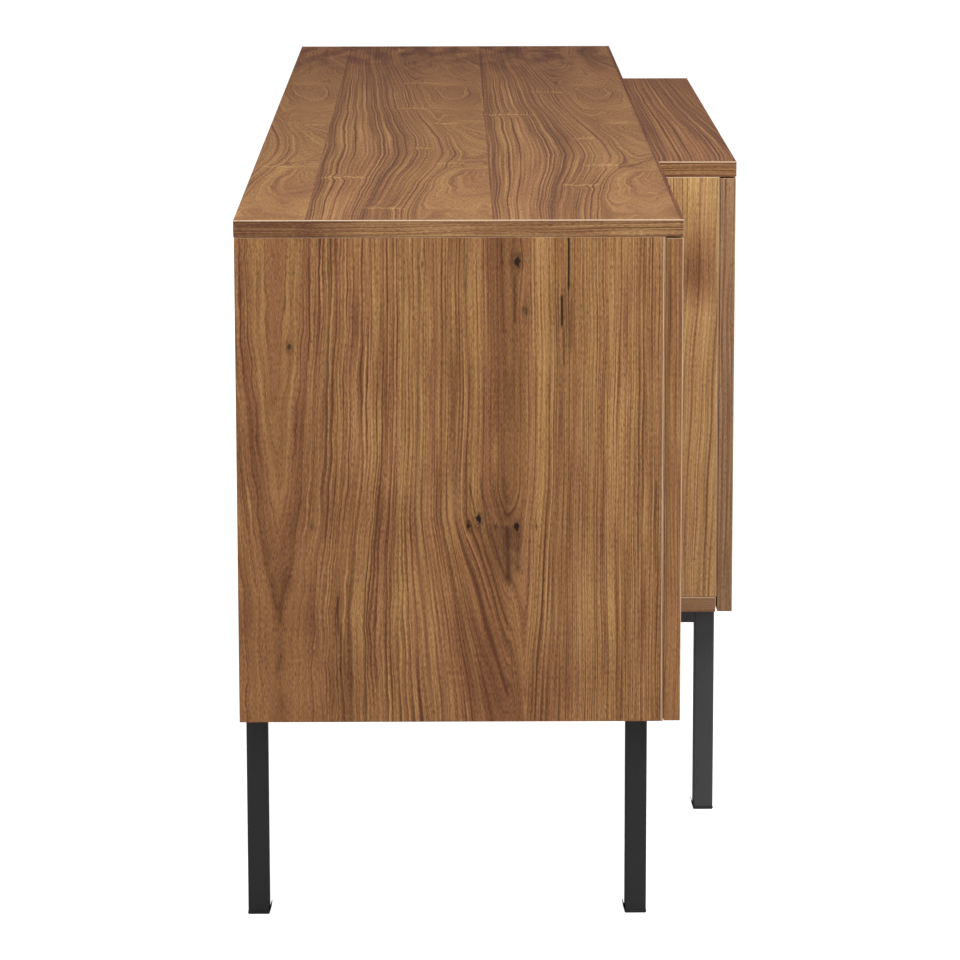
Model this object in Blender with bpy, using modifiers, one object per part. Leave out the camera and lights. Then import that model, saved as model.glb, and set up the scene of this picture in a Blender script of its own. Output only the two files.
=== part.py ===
"""A breakfront sideboard: a stepped walnut cabinet on black steel legs.

Its four push-to-open doors swing on linked concealed hinges.

Metres, +Z up. X runs along the length, the doors face -Y, and the origin is on the floor under the middle.
"""

from collections import namedtuple
from math import asin, atan2, cos, hypot, pi, sin

import bmesh
import bpy
from mathutils import Matrix, Vector

# The whole cabinet
LENGTH = 1.800
DEPTH = 0.471
SIDE_DEPTH = 0.395
CENTRE_WIDTH = 0.890
BODY_HEIGHT = 0.4515
LEG_HEIGHT = 0.213

# Boards
BOARD = 0.015
DOOR_THICKNESS = 0.015
BACK_THICKNESS = 0.004
SHELF_THICKNESS = 0.015
SHELF_SETBACK = 0.022
SHELF_LEVEL = 0.200
TOP_OVERHANG = 0.0005
EDGE_EASE = 0.0005
SEAT = 0.0003

# Gaps round the doors
DOOR_BACK_GAP = 0.0015
DOOR_TOP_GAP = 0.0015
DOOR_SIDE_GAP = 0.0020
DOOR_BOTTOM_RAISE = 0.0005

# Legs
TUBE_WIDTH = 0.0195
TUBE_DEPTH = 0.025
TUBE_WALL = 0.0015
TUBE_CORNER = 0.0012
RAIL_INSET = 0.0008
END_LEG_INSET = 0.120
END_LEG_SETBACK = 0.024
CENTRE_LEG_INSET = 0.036
CENTRE_LEG_SETBACK = 0.0155
GLIDE_LIP_HEIGHT = 0.003
GLIDE_OVERHANG = 0.0004
GLIDE_CORNER = 0.0010
GLIDE_SPIGOT = 0.012
TONGUE_START = 0.0012
TONGUE_TOP = 0.0072
TONGUE_THICKNESS = 0.00065
TONGUE_LEAN = 0.0018
TONGUE_INSET = 0.0015

# Linked hinges, two per door
HINGE_INSET = 0.080
CUP_RADIUS = 0.0172
CUP_WALL = 0.0012
CUP_FLOOR = 0.0010
CUP_EDGE_DISTANCE = 0.005
CUP_FLANGE_HALF_HEIGHT = 0.027
CUP_FLANGE_WIDTH = 0.018
CUP_FLANGE = 0.0010
CUP_HOLE_RADIUS = 0.0018
CUP_HOLE_HEIGHT = 0.0225
BORE_COVER = 0.0035
PIN_RADIUS = 0.0010
PIN_CLEARANCE = 0.0003
ARM_EYE_RADIUS = 0.0024
LINK_EYE_RADIUS = 0.0021
LINK_THICKNESS = 0.0024
LINK_HALF_HEIGHT = 0.0040
CUP_PIN_FROM_WALL = 0.0045
CUP_PIN_SINK = 0.0015
ARM_PIN_RISE = 0.012
ARM_NOSE_CLEARANCE = 0.0008
ARM_LENGTH = 0.058
ARM_HALF_HEIGHT = 0.0065
ARM_SHEET = 0.0012
ARM_NECK_LENGTH = 0.013
ARM_HEEL_DROP = 0.004
ARM_HEEL_START = 0.016
ARM_HEEL_END = 0.024
ARM_CREST_FALL = 0.001
ARM_TAIL_DROP = 0.004
ARM_TAIL_SLOPE = 0.008
PLATE_THICKNESS = 0.0022
PLATE_HALF_HEIGHT = 0.022
PLATE_START = 0.028
PLATE_END = 0.052
PLATE_CORNER = 0.0004
PLATE_HOLE_RADIUS = 0.0022
PLATE_HOLE_HEIGHT = 0.016

# Push latches, one per door
LATCH_WIDTH = 0.016
LATCH_HEIGHT = 0.014
LATCH_LENGTH = 0.060
LATCH_RECESS = 0.008
LATCH_DROP = 0.030
LATCH_CORNER = 0.0015
PLUNGER_RADIUS = 0.0038
PLUNGER_TIP_RADIUS = 0.0046
PLUNGER_TIP_LENGTH = 0.002
PLUNGER_LENGTH = 0.030
PLUNGER_TRAVEL = 0.004

# Facets
ROUND_STEPS = 24
SMALL_STEPS = 12
EYE_STEPS = 8
PLUNGER_STEPS = 16
TUBE_CORNER_STEPS = 2

# Levels that follow from the sizes above
HALF_LENGTH = LENGTH / 2
HALF_CENTRE = CENTRE_WIDTH / 2
TOTAL_HEIGHT = LEG_HEIGHT + BODY_HEIGHT
SLAB_UNDER = TOTAL_HEIGHT - BOARD
FLOOR_OF_BAYS = LEG_HEIGHT + BOARD
REAR = DEPTH / 2
CARCASS_REAR = REAR - TOP_OVERHANG
BACK_FRONT = CARCASS_REAR - BACK_THICKNESS
SIDE_SLAB_FRONT = REAR - SIDE_DEPTH
CENTRE_SLAB_FRONT = -REAR
SIDE_DOOR_FRONT = SIDE_SLAB_FRONT + TOP_OVERHANG
CENTRE_DOOR_FRONT = CENTRE_SLAB_FRONT + TOP_OVERHANG
SIDE_CARCASS_FRONT = SIDE_DOOR_FRONT + DOOR_THICKNESS + DOOR_BACK_GAP
CENTRE_CARCASS_FRONT = CENTRE_DOOR_FRONT + DOOR_THICKNESS + DOOR_BACK_GAP
DOOR_BOTTOM = LEG_HEIGHT + DOOR_BOTTOM_RAISE
DOOR_TOP = SLAB_UNDER - DOOR_TOP_GAP

# Hinge places, from the door's hinge edge (u) and from its back face into the cabinet (v)
CUP_CENTRE_U = CUP_EDGE_DISTANCE + SEAT + CUP_RADIUS
CUP_DEPTH = DOOR_THICKNESS - BORE_COVER - SEAT
CUP_INSIDE_RADIUS = CUP_RADIUS - CUP_WALL
CUP_PIN_U = CUP_CENTRE_U - CUP_INSIDE_RADIUS + CUP_PIN_FROM_WALL
CUP_PIN_V = -CUP_PIN_SINK
ARM_PIN_U = BOARD + ARM_PIN_RISE
ARM_PIN_V = CUP_FLOOR + ARM_NOSE_CLEARANCE + ARM_EYE_RADIUS - CUP_DEPTH
HINGE_LEVELS = {"lower": DOOR_BOTTOM + HINGE_INSET, "upper": DOOR_TOP - HINGE_INSET}

# name, x of the hinge edge, +1 where the door reaches towards +X, y of its back face, its width
Door = namedtuple("Door", "name edge side back width")

SIDE_DOOR_WIDTH = HALF_LENGTH - HALF_CENTRE - DOOR_SIDE_GAP
CENTRE_DOOR_WIDTH = HALF_CENTRE - DOOR_SIDE_GAP / 2
SIDE_DOOR_BACK = SIDE_DOOR_FRONT + DOOR_THICKNESS
CENTRE_DOOR_BACK = CENTRE_DOOR_FRONT + DOOR_THICKNESS

DOORS = (
    Door("left", -HALF_LENGTH, 1, SIDE_DOOR_BACK, SIDE_DOOR_WIDTH),
    Door("centre_left", -HALF_CENTRE, 1, CENTRE_DOOR_BACK, CENTRE_DOOR_WIDTH),
    Door("centre_right", HALF_CENTRE, -1, CENTRE_DOOR_BACK, CENTRE_DOOR_WIDTH),
    Door("right", HALF_LENGTH, -1, SIDE_DOOR_BACK, SIDE_DOOR_WIDTH),
)

# colour, metallic, roughness
WALNUT = ((0.30, 0.15, 0.07), 0.0, 0.45)
WALNUT_INSIDE = ((0.33, 0.18, 0.09), 0.0, 0.55)
BACKING = ((0.22, 0.13, 0.08), 0.0, 0.70)
BLACK_STEEL = ((0.025, 0.025, 0.026), 0.3, 0.45)
BLACK_PLASTIC = ((0.012, 0.012, 0.012), 0.0, 0.55)
GREY_PLASTIC = ((0.45, 0.45, 0.44), 0.0, 0.50)
NICKEL = ((0.62, 0.61, 0.58), 1.0, 0.28)


def clear_scene():
    for item in list(bpy.data.objects):
        bpy.data.objects.remove(item, do_unlink=True)


def new_collection(name):
    collection = bpy.data.collections.new(name)
    bpy.context.scene.collection.children.link(collection)
    return collection


def adopt(item, name, collection):
    """Names an object and its mesh, and moves it to its collection."""
    item.name = name
    item.data.name = name
    for old in list(item.users_collection):
        old.objects.unlink(item)
    collection.objects.link(item)
    return item


def finish(item, look):
    """Gives a piece its own material."""
    colour, metallic, roughness = look
    material = bpy.data.materials.new(item.name + "_finish")
    material.use_nodes = True
    shader = material.node_tree.nodes["Principled BSDF"]
    shader.inputs["Base Color"].default_value = (*colour, 1.0)
    shader.inputs["Metallic"].default_value = metallic
    shader.inputs["Roughness"].default_value = roughness
    item.data.materials.clear()
    item.data.materials.append(material)
    return item


def box(name, low, high, collection):
    """A box between two corners, its scale applied."""
    low, high = Vector(low), Vector(high)
    bpy.ops.mesh.primitive_cube_add(size=1, location=(low + high) / 2)
    item = bpy.context.object
    item.scale = high - low
    bpy.ops.object.transform_apply(location=False, rotation=False, scale=True)
    return adopt(item, name, collection)


def cylinder(name, centre, radius, length, axis, collection, steps=ROUND_STEPS):
    """A round bar centred on a point, along X, Y or Z."""
    turns = {"X": (0, pi / 2, 0), "Y": (pi / 2, 0, 0), "Z": (0, 0, 0)}
    bpy.ops.mesh.primitive_cylinder_add(
        vertices=steps, radius=radius, depth=length, location=centre, rotation=turns[axis])
    return adopt(bpy.context.object, name, collection)


def helper(item):
    """Marks a cutter or a part of a fused shape."""
    item.hide_render = True
    item.display_type = "WIRE"
    return item


def ease(item, width=EDGE_EASE, segments=1):
    """Breaks the sharp edges of a board or housing."""
    bevel = item.modifiers.new("eased_edges", "BEVEL")
    bevel.width = width
    bevel.segments = segments
    bevel.limit_method = "ANGLE"
    return item


def combine(item, other, operation):
    boolean = item.modifiers.new(other.name, "BOOLEAN")
    boolean.operation = operation
    boolean.solver = "EXACT"
    boolean.object = helper(other)
    return item


def cut(item, cutter):
    return combine(item, cutter, "DIFFERENCE")


def fuse(item, other):
    return combine(item, other, "UNION")


def smooth(item, angle=0.6):
    item.data.shade_smooth()
    item.data.set_sharp_from_angle(angle=angle)
    return item


def flat_solid(name, loops, middle_z, thickness, collection):
    """A flat outline, with any holes as further loops, given thickness about a height."""
    curve = bpy.data.curves.new(name + "_outline", "CURVE")
    curve.dimensions = "2D"
    curve.fill_mode = "BOTH"
    curve.extrude = thickness / 2
    for loop in loops:
        spline = curve.splines.new("POLY")
        spline.points.add(len(loop) - 1)
        for point, (x, y) in zip(spline.points, loop):
            point.co = (x, y, 0, 1)
        spline.use_cyclic_u = True
    drawn = bpy.data.objects.new(name + "_outline", curve)
    drawn.location.z = middle_z
    collection.objects.link(drawn)
    bpy.context.view_layer.update()
    graph = bpy.context.evaluated_depsgraph_get()
    mesh = bpy.data.meshes.new_from_object(drawn.evaluated_get(graph))
    shape = bmesh.new()
    shape.from_mesh(mesh)
    bmesh.ops.remove_doubles(shape, verts=shape.verts, dist=0.00001)
    bmesh.ops.recalc_face_normals(shape, faces=shape.faces)
    shape.to_mesh(mesh)
    shape.free()
    item = bpy.data.objects.new(name, mesh)
    item.matrix_world = drawn.matrix_world
    collection.objects.link(item)
    bpy.data.objects.remove(drawn, do_unlink=True)
    bpy.data.curves.remove(curve)
    mesh.name = name
    return item


def arc(centre, radius, start, end, steps):
    """Points round part of a circle, ends included."""
    angles = [start + (end - start) * step / steps for step in range(steps + 1)]
    return [(centre[0] + radius * cos(angle), centre[1] + radius * sin(angle)) for angle in angles]


def joint_empty(name, place, collection, parent=None):
    """Marks a joint's axis, which the pieces that move about it hang from."""
    empty = bpy.data.objects.new(name, None)
    empty.empty_display_size = 0.03
    collection.objects.link(empty)
    empty.location = place
    if parent is not None:
        empty.parent = parent
        empty.location = Vector(place) - parent.location
    return empty


def hang(item, empty, place):
    """Parents a finished piece to a joint's empty without moving it."""
    item.parent = empty
    item.matrix_parent_inverse = Matrix.Translation(-Vector(place))


def stepped_outline(half_length, side_front, centre_front, rear):
    """The plan of a board that stands forward between the dividers."""
    return [
        (-half_length, rear), (-half_length, side_front), (-HALF_CENTRE, side_front),
        (-HALF_CENTRE, centre_front), (HALF_CENTRE, centre_front), (HALF_CENTRE, side_front),
        (half_length, side_front), (half_length, rear)]


def build_top(parts):
    outline = stepped_outline(HALF_LENGTH, SIDE_SLAB_FRONT, CENTRE_SLAB_FRONT, REAR)
    top = flat_solid("top_panel", [outline], TOTAL_HEIGHT - BOARD / 2, BOARD, parts)
    finish(ease(top, segments=2), WALNUT)


def build_bottom(parts):
    """Lies between the end panels, under the dividers, and ends behind the doors."""
    outline = stepped_outline(
        HALF_LENGTH - BOARD - SEAT, SIDE_CARCASS_FRONT, CENTRE_CARCASS_FRONT, BACK_FRONT - SEAT)
    bottom = flat_solid("bottom_panel", [outline], LEG_HEIGHT + BOARD / 2, BOARD, parts)
    finish(ease(bottom), WALNUT)


def build_end_panels(parts):
    for name, side in (("left_end_panel", -1), ("right_end_panel", 1)):
        xs = sorted((side * HALF_LENGTH, side * (HALF_LENGTH - BOARD)))
        panel = box(
            name, (xs[0], SIDE_CARCASS_FRONT, LEG_HEIGHT), (xs[1], CARCASS_REAR, SLAB_UNDER - SEAT), parts)
        finish(ease(panel, segments=2), WALNUT)


def build_uprights(parts):
    """Two dividers that form the sides of the centre section, and the partition between its doors."""
    places = (
        ("left_divider", -HALF_CENTRE),
        ("centre_partition", -BOARD / 2),
        ("right_divider", HALF_CENTRE - BOARD))
    for name, low_x in places:
        low = (low_x, CENTRE_CARCASS_FRONT, FLOOR_OF_BAYS + SEAT)
        high = (low_x + BOARD, BACK_FRONT - SEAT, SLAB_UNDER - SEAT)
        finish(ease(box(name, low, high, parts)), WALNUT)


def build_back(parts):
    half = HALF_LENGTH - BOARD - SEAT
    low = (-half, BACK_FRONT, LEG_HEIGHT)
    high = (half, CARCASS_REAR, SLAB_UNDER - SEAT)
    finish(box("back_panel", low, high, parts), BACKING)


def build_shelves(parts):
    """One fixed shelf in each bay, between the uprights' faces."""
    bays = (
        ("left", BOARD - HALF_LENGTH, -HALF_CENTRE, SIDE_CARCASS_FRONT),
        ("centre_left", BOARD - HALF_CENTRE, -BOARD / 2, CENTRE_CARCASS_FRONT),
        ("centre_right", BOARD / 2, HALF_CENTRE - BOARD, CENTRE_CARCASS_FRONT),
        ("right", HALF_CENTRE, HALF_LENGTH - BOARD, SIDE_CARCASS_FRONT),
    )
    under = FLOOR_OF_BAYS + SHELF_LEVEL
    for name, low_x, high_x, front in bays:
        low = (low_x + SEAT, front + SHELF_SETBACK, under)
        high = (high_x - SEAT, BACK_FRONT - SEAT, under + SHELF_THICKNESS)
        finish(ease(box(name + "_shelf", low, high, parts)), WALNUT_INSIDE)


def tube_bar(name, low, high, axis, corner, collection):
    """A square bar whose four long edges are rounded."""
    item = box(name, low, high, collection)
    shape = bmesh.new()
    shape.from_mesh(item.data)
    long_edges = [
        edge for edge in shape.edges if abs((edge.verts[0].co - edge.verts[1].co)[axis]) > SEAT]
    bmesh.ops.bevel(
        shape, geom=long_edges, offset=corner, segments=TUBE_CORNER_STEPS, profile=0.5, affect="EDGES",
        clamp_overlap=True)
    shape.to_mesh(item.data)
    shape.free()
    return item


def leg_bar(name, x, y, low_z, high_z, inset, corner, collection):
    low = (x + inset, y + inset, low_z)
    high = (x + TUBE_DEPTH - inset, y + TUBE_WIDTH - inset, high_z)
    return tube_bar(name, low, high, 2, corner, collection)


def build_frame(name, x, leg_ys, rail_end, parts, cutters):
    """Legs and a rail of steel tube, hollow throughout and open at the feet.

    The rail is butted between the legs, a little narrower than they are.
    """
    top = LEG_HEIGHT - SEAT
    inside = TUBE_CORNER / 2
    frame = leg_bar(name, x, leg_ys[0], GLIDE_LIP_HEIGHT + SEAT, top, 0, TUBE_CORNER, parts)
    rail_low = (x + RAIL_INSET, leg_ys[0] + TUBE_WIDTH - TUBE_WALL / 2, top - TUBE_WIDTH + RAIL_INSET)
    rail_high = (x + TUBE_DEPTH - RAIL_INSET, rail_end, top)
    fuse(frame, tube_bar(name + "_rail", rail_low, rail_high, 1, TUBE_CORNER, cutters))
    for number, leg_y in enumerate(leg_ys[1:], 2):
        leg = leg_bar(
            f"{name}_leg_{number}", x, leg_y, GLIDE_LIP_HEIGHT + SEAT, top, 0, TUBE_CORNER, cutters)
        fuse(frame, leg)
    for number, leg_y in enumerate(leg_ys, 1):
        bore = leg_bar(f"{name}_bore_{number}", x, leg_y, 0, top - TUBE_WALL, TUBE_WALL, inside, cutters)
        cut(frame, bore)
    hollow_end = rail_end + TUBE_WALL if len(leg_ys) > 1 else rail_end - TUBE_WALL
    wall = Vector((TUBE_WALL, 0, TUBE_WALL))
    hollow_low = Vector((rail_low[0], leg_ys[0] + TUBE_WIDTH / 2, rail_low[2])) + wall
    hollow_high = Vector((rail_high[0], hollow_end, rail_high[2])) - wall
    cut(frame, tube_bar(name + "_rail_bore", hollow_low, hollow_high, 1, inside, cutters))
    finish(smooth(frame), BLACK_STEEL)


def build_tongue(name, x, y, inward, cutters):
    """The thin tongue of a foot, which leans away from the leg's inner side."""
    face = y + TUBE_WIDTH if inward > 0 else y
    outer = face + inward * (GLIDE_OVERHANG - SEAT / 6)
    inner = outer - inward * TONGUE_THICKNESS
    tongue = box(
        name + "_tongue", (x + TONGUE_INSET, min(outer, inner), TONGUE_START),
        (x + TUBE_DEPTH - TONGUE_INSET, max(outer, inner), TONGUE_TOP), cutters)
    for corner in tongue.data.vertices:
        if corner.co.z > 0:
            corner.co.y += inward * TONGUE_LEAN
    return tongue


def build_glide(name, x, y, inward, parts, cutters):
    """A plastic foot: a lip under the tube's end, a spigot pushed into it and a tongue beside it."""
    grow = GLIDE_OVERHANG
    glide = box(
        name, (x - grow, y - grow, 0),
        (x + TUBE_DEPTH + grow, y + TUBE_WIDTH + grow, GLIDE_LIP_HEIGHT), parts)
    ease(glide, GLIDE_CORNER)
    spigot = leg_bar(
        name + "_spigot", x, y, GLIDE_LIP_HEIGHT / 2, GLIDE_LIP_HEIGHT + GLIDE_SPIGOT,
        TUBE_WALL + SEAT, TUBE_CORNER / 2, cutters)
    fuse(glide, spigot)
    finish(fuse(glide, build_tongue(name, x, y, inward, cutters)), BLACK_PLASTIC)


def build_base(parts, cutters):
    """Inverted U frames under the ends, and a leg with a rail running back at each side of the centre."""
    end_front = SIDE_DOOR_FRONT + END_LEG_SETBACK
    end_rear = CARCASS_REAR - TUBE_WIDTH
    centre_front = CENTRE_DOOR_FRONT + CENTRE_LEG_SETBACK
    for hand, side in (("left", -1), ("right", 1)):
        end_x = side * (HALF_LENGTH - END_LEG_INSET - TUBE_DEPTH / 2) - TUBE_DEPTH / 2
        centre_x = side * (HALF_CENTRE - CENTRE_LEG_INSET - TUBE_DEPTH / 2) - TUBE_DEPTH / 2
        rail_end = end_rear + TUBE_WALL / 2
        build_frame(f"{hand}_end_frame", end_x, (end_front, end_rear), rail_end, parts, cutters)
        build_frame(f"{hand}_centre_frame", centre_x, (centre_front,), CARCASS_REAR, parts, cutters)
        build_glide(f"{hand}_front_glide", end_x, end_front, 1, parts, cutters)
        build_glide(f"{hand}_rear_glide", end_x, end_rear, -1, parts, cutters)
        build_glide(f"{hand}_centre_glide", centre_x, centre_front, 1, parts, cutters)


def place(door, u, v, z):
    """World coordinates of a point given from a door's hinge edge and back face."""
    return Vector((door.edge + door.side * u, door.back + v, z))


def door_box(name, door, low, high, collection):
    """A box given in a door's own directions."""
    ends = (place(door, *low), place(door, *high))
    corners = [[min(a, b), max(a, b)] for a, b in zip(*ends)]
    return box(name, [c[0] for c in corners], [c[1] for c in corners], collection)


def build_door(door, parts, cutters):
    """A flush door with a blind bore for each hinge cup."""
    name = door.name + "_door"
    panel = door_box(
        name, door, (0, -DOOR_THICKNESS, DOOR_BOTTOM), (door.width, 0, DOOR_TOP), parts)
    ease(panel, segments=2)
    depth = CUP_DEPTH + SEAT
    for level, z in HINGE_LEVELS.items():
        middle = place(door, CUP_CENTRE_U, -depth / 2 + SEAT, z)
        bore = cylinder(
            f"{name}_{level}_bore", middle, CUP_RADIUS + SEAT, depth + 2 * SEAT, "Y", cutters)
        cut(panel, bore)
    return finish(panel, WALNUT)


def build_cup(door, level, z, parts, cutters):
    """A pressed cup with its flange on the door's back and the link's pin across it.

    The flange and the rim stop short of the upright's front edge.
    """
    name = f"{door.name}_{level}_hinge_cup"
    rim = SEAT + CUP_FLANGE
    length = CUP_DEPTH + rim - CUP_FLANGE / 2
    middle = place(door, CUP_CENTRE_U, length / 2 - CUP_DEPTH, z)
    cup = cylinder(name, middle, CUP_RADIUS, length, "Y", parts)
    flange_start = BOARD + 2 * SEAT
    flange = door_box(
        name + "_flange", door, (flange_start - CUP_WALL, SEAT, z - CUP_FLANGE_HALF_HEIGHT),
        (flange_start + CUP_FLANGE_WIDTH, rim, z + CUP_FLANGE_HALF_HEIGHT), cutters)
    fuse(cup, flange)
    hollow_length = length + CUP_FLANGE
    hollow = cylinder(
        name + "_hollow", place(door, CUP_CENTRE_U, CUP_FLOOR - CUP_DEPTH + hollow_length / 2, z),
        CUP_INSIDE_RADIUS, hollow_length, "Y", cutters)
    cut(cup, hollow)
    lip = door_box(
        name + "_lip_cut", door, (0, -SEAT, z - 2 * CUP_RADIUS),
        (flange_start, 2 * rim, z + 2 * CUP_RADIUS), cutters)
    cut(cup, lip)
    chord_inside = (CUP_INSIDE_RADIUS ** 2 - (CUP_CENTRE_U - CUP_PIN_U) ** 2) ** 0.5
    pin = cylinder(
        name + "_pin", place(door, CUP_PIN_U, CUP_PIN_V, z), PIN_RADIUS,
        2 * chord_inside + CUP_WALL, "Z", cutters, SMALL_STEPS)
    fuse(cup, pin)
    screw_u = flange_start + CUP_FLANGE_WIDTH / 2
    for end, hole_z in (("top", z + CUP_HOLE_HEIGHT), ("foot", z - CUP_HOLE_HEIGHT)):
        hole = cylinder(
            f"{name}_{end}_hole", place(door, screw_u, rim / 2, hole_z), CUP_HOLE_RADIUS,
            2 * rim, "Y", cutters, SMALL_STEPS)
        cut(cup, hole)
    return finish(smooth(cup), NICKEL)


def link_outline(door):
    """Round both eyes and along the two slightly waisted sides that touch them."""
    arm = place(door, ARM_PIN_U, ARM_PIN_V, 0)
    cup = place(door, CUP_PIN_U, CUP_PIN_V, 0)
    reach = hypot(cup.x - arm.x, cup.y - arm.y)
    along = atan2(cup.y - arm.y, cup.x - arm.x)
    lean = asin((LINK_EYE_RADIUS - LINK_THICKNESS / 2) / (reach / 2))
    quarter = pi / 2
    middle = (arm + cup) / 2
    side = Vector((-sin(along), cos(along), 0)) * LINK_THICKNESS / 2
    arm_eye = arc(arm, LINK_EYE_RADIUS, along + quarter - lean, along + 3 * quarter + lean, EYE_STEPS)
    cup_eye = arc(cup, LINK_EYE_RADIUS, along - quarter - lean, along + quarter + lean, EYE_STEPS)
    outline = arm_eye + [tuple((middle - side).xy)] + cup_eye + [tuple((middle + side).xy)]
    return outline, arm, cup


def build_link(door, level, z, parts):
    """A flat link with an eye round the arm's pin and one round the cup's."""
    outline, arm, cup = link_outline(door)
    hole = PIN_RADIUS + PIN_CLEARANCE
    loops = [outline]
    for eye in (arm, cup):
        loops.append(arc(eye, hole, 0, 2 * pi * (SMALL_STEPS - 1) / SMALL_STEPS, SMALL_STEPS - 1))
    link = flat_solid(f"{door.name}_{level}_hinge_link", loops, z, 2 * LINK_HALF_HEIGHT, parts)
    return finish(smooth(link), NICKEL)


def arm_outline(door):
    """The arm from the side: a nose round the pin, a slim neck, and a body on the mounting plate."""
    foot = BOARD + PLATE_THICKNESS - SEAT
    crest = ARM_PIN_U + ARM_EYE_RADIUS
    neck = ARM_PIN_U - ARM_EYE_RADIUS
    points = [
        (foot, ARM_HEEL_END), (foot, ARM_LENGTH), (crest - ARM_TAIL_DROP, ARM_LENGTH),
        (crest - ARM_CREST_FALL, ARM_LENGTH - ARM_TAIL_SLOPE), (crest, PLATE_START)]
    points += arc((ARM_PIN_U, ARM_PIN_V), ARM_EYE_RADIUS, 0, -pi, SMALL_STEPS // 2)
    points += [(neck, ARM_PIN_V + ARM_NECK_LENGTH), (neck - ARM_HEEL_DROP, ARM_HEEL_START)]
    return [(door.edge + door.side * u, door.back + v) for u, v in points]


def build_plate(name, door, z, cutters):
    """The arm's mounting plate against the upright, with a hole above and below the arm for its screws."""
    plate = door_box(
        name, door, (BOARD + SEAT, PLATE_START, z - PLATE_HALF_HEIGHT),
        (BOARD + PLATE_THICKNESS, PLATE_END, z + PLATE_HALF_HEIGHT), cutters)
    ease(plate, PLATE_CORNER)
    screw_v = (PLATE_START + PLATE_END) / 2
    for end, hole_z in (("top", z + PLATE_HOLE_HEIGHT), ("foot", z - PLATE_HOLE_HEIGHT)):
        hole = cylinder(
            f"{name}_{end}_hole", place(door, BOARD + PLATE_THICKNESS / 2, screw_v, hole_z),
            PLATE_HOLE_RADIUS, 2 * PLATE_THICKNESS, "X", cutters, SMALL_STEPS)
        cut(plate, hole)
    return plate


def build_arm(door, level, z, parts, cutters):
    """A channel-shaped arm with two ears for the link's pin, on a plate against the upright."""
    name = f"{door.name}_{level}_hinge_arm"
    arm = flat_solid(name, [arm_outline(door)], z, 2 * ARM_HALF_HEIGHT, parts)
    inner = ARM_HALF_HEIGHT - ARM_SHEET
    crest = ARM_PIN_U + ARM_EYE_RADIUS
    channel = door_box(
        name + "_channel", door, (BOARD, PLATE_START + ARM_SHEET, z - inner),
        (crest - ARM_CREST_FALL - 2 * ARM_SHEET, ARM_LENGTH + ARM_SHEET, z + inner), cutters)
    cut(arm, channel)
    slot_half = LINK_HALF_HEIGHT + PIN_CLEARANCE
    slot = door_box(
        name + "_slot", door,
        (ARM_PIN_U - 2 * ARM_EYE_RADIUS, ARM_PIN_V - 2 * ARM_EYE_RADIUS, z - slot_half),
        (ARM_PIN_U + 2 * ARM_EYE_RADIUS, ARM_PIN_V + LINK_EYE_RADIUS + ARM_NOSE_CLEARANCE, z + slot_half),
        cutters)
    cut(arm, slot)
    pin = cylinder(
        name + "_pin", place(door, ARM_PIN_U, ARM_PIN_V, z), PIN_RADIUS,
        2 * ARM_HALF_HEIGHT - ARM_SHEET, "Z", cutters, SMALL_STEPS)
    fuse(arm, pin)
    fuse(arm, build_plate(name + "_plate", door, z, cutters))
    return finish(arm, NICKEL)


def build_doors(parts, cutters):
    """Each door hangs from its links' far pins, and the links from the arms' pins."""
    for door in DOORS:
        arm_place = place(door, ARM_PIN_U, ARM_PIN_V, 0)
        cup_place = place(door, CUP_PIN_U, CUP_PIN_V, 0)
        links = joint_empty(door.name + "_links_axis", arm_place, parts)
        swing = joint_empty(door.name + "_door_axis", cup_place, parts, links)
        hang(build_door(door, parts, cutters), swing, cup_place)
        for level, z in HINGE_LEVELS.items():
            hang(build_cup(door, level, z, parts, cutters), swing, cup_place)
            hang(build_link(door, level, z, parts), links, arm_place)
            build_arm(door, level, z, parts, cutters)


def latch_x(door):
    """The middle of a latch that lies against the upright behind the door's free edge."""
    upright = HALF_CENTRE if abs(door.edge) > HALF_CENTRE else BOARD / 2
    return -door.side * (upright + SEAT + LATCH_WIDTH / 2)


def build_latch_body(door, x, z, parts, cutters):
    name = door.name + "_latch_body"
    front = door.back + LATCH_RECESS
    body = box(
        name, (x - LATCH_WIDTH / 2, front, z - LATCH_HEIGHT / 2),
        (x + LATCH_WIDTH / 2, front + LATCH_LENGTH, z + LATCH_HEIGHT / 2), parts)
    ease(body, LATCH_CORNER, 2)
    depth = PLUNGER_LENGTH - LATCH_RECESS + PLUNGER_TRAVEL + 2 * SEAT
    bore = cylinder(
        name + "_bore", (x, front + depth / 2 - SEAT, z), PLUNGER_RADIUS + SEAT, depth + 2 * SEAT,
        "Y", cutters)
    finish(cut(body, bore), GREY_PLASTIC)


def build_plunger(door, x, z, parts):
    """A turned rod with a wider tip that rests just behind the door."""
    mesh = bpy.data.meshes.new(door.name + "_latch_plunger")
    profile = [
        (0, 0), (PLUNGER_TIP_RADIUS, 0), (PLUNGER_TIP_RADIUS, -PLUNGER_TIP_LENGTH),
        (PLUNGER_RADIUS, -PLUNGER_TIP_LENGTH), (PLUNGER_RADIUS, -PLUNGER_LENGTH), (0, -PLUNGER_LENGTH)]
    edges = [(i, i + 1) for i in range(len(profile) - 1)]
    mesh.from_pydata([(r, 0, h) for r, h in profile], edges, [])
    plunger = bpy.data.objects.new(mesh.name, mesh)
    parts.objects.link(plunger)
    plunger.location = (x, door.back + SEAT, z)
    plunger.rotation_euler = (pi / 2, 0, 0)
    turned = plunger.modifiers.new("turned", "SCREW")
    turned.axis = "Z"
    turned.steps = PLUNGER_STEPS
    turned.render_steps = PLUNGER_STEPS
    turned.use_merge_vertices = True
    turned.merge_threshold = 0.00001
    turned.use_smooth_shade = False
    finish(plunger, GREY_PLASTIC)


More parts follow.
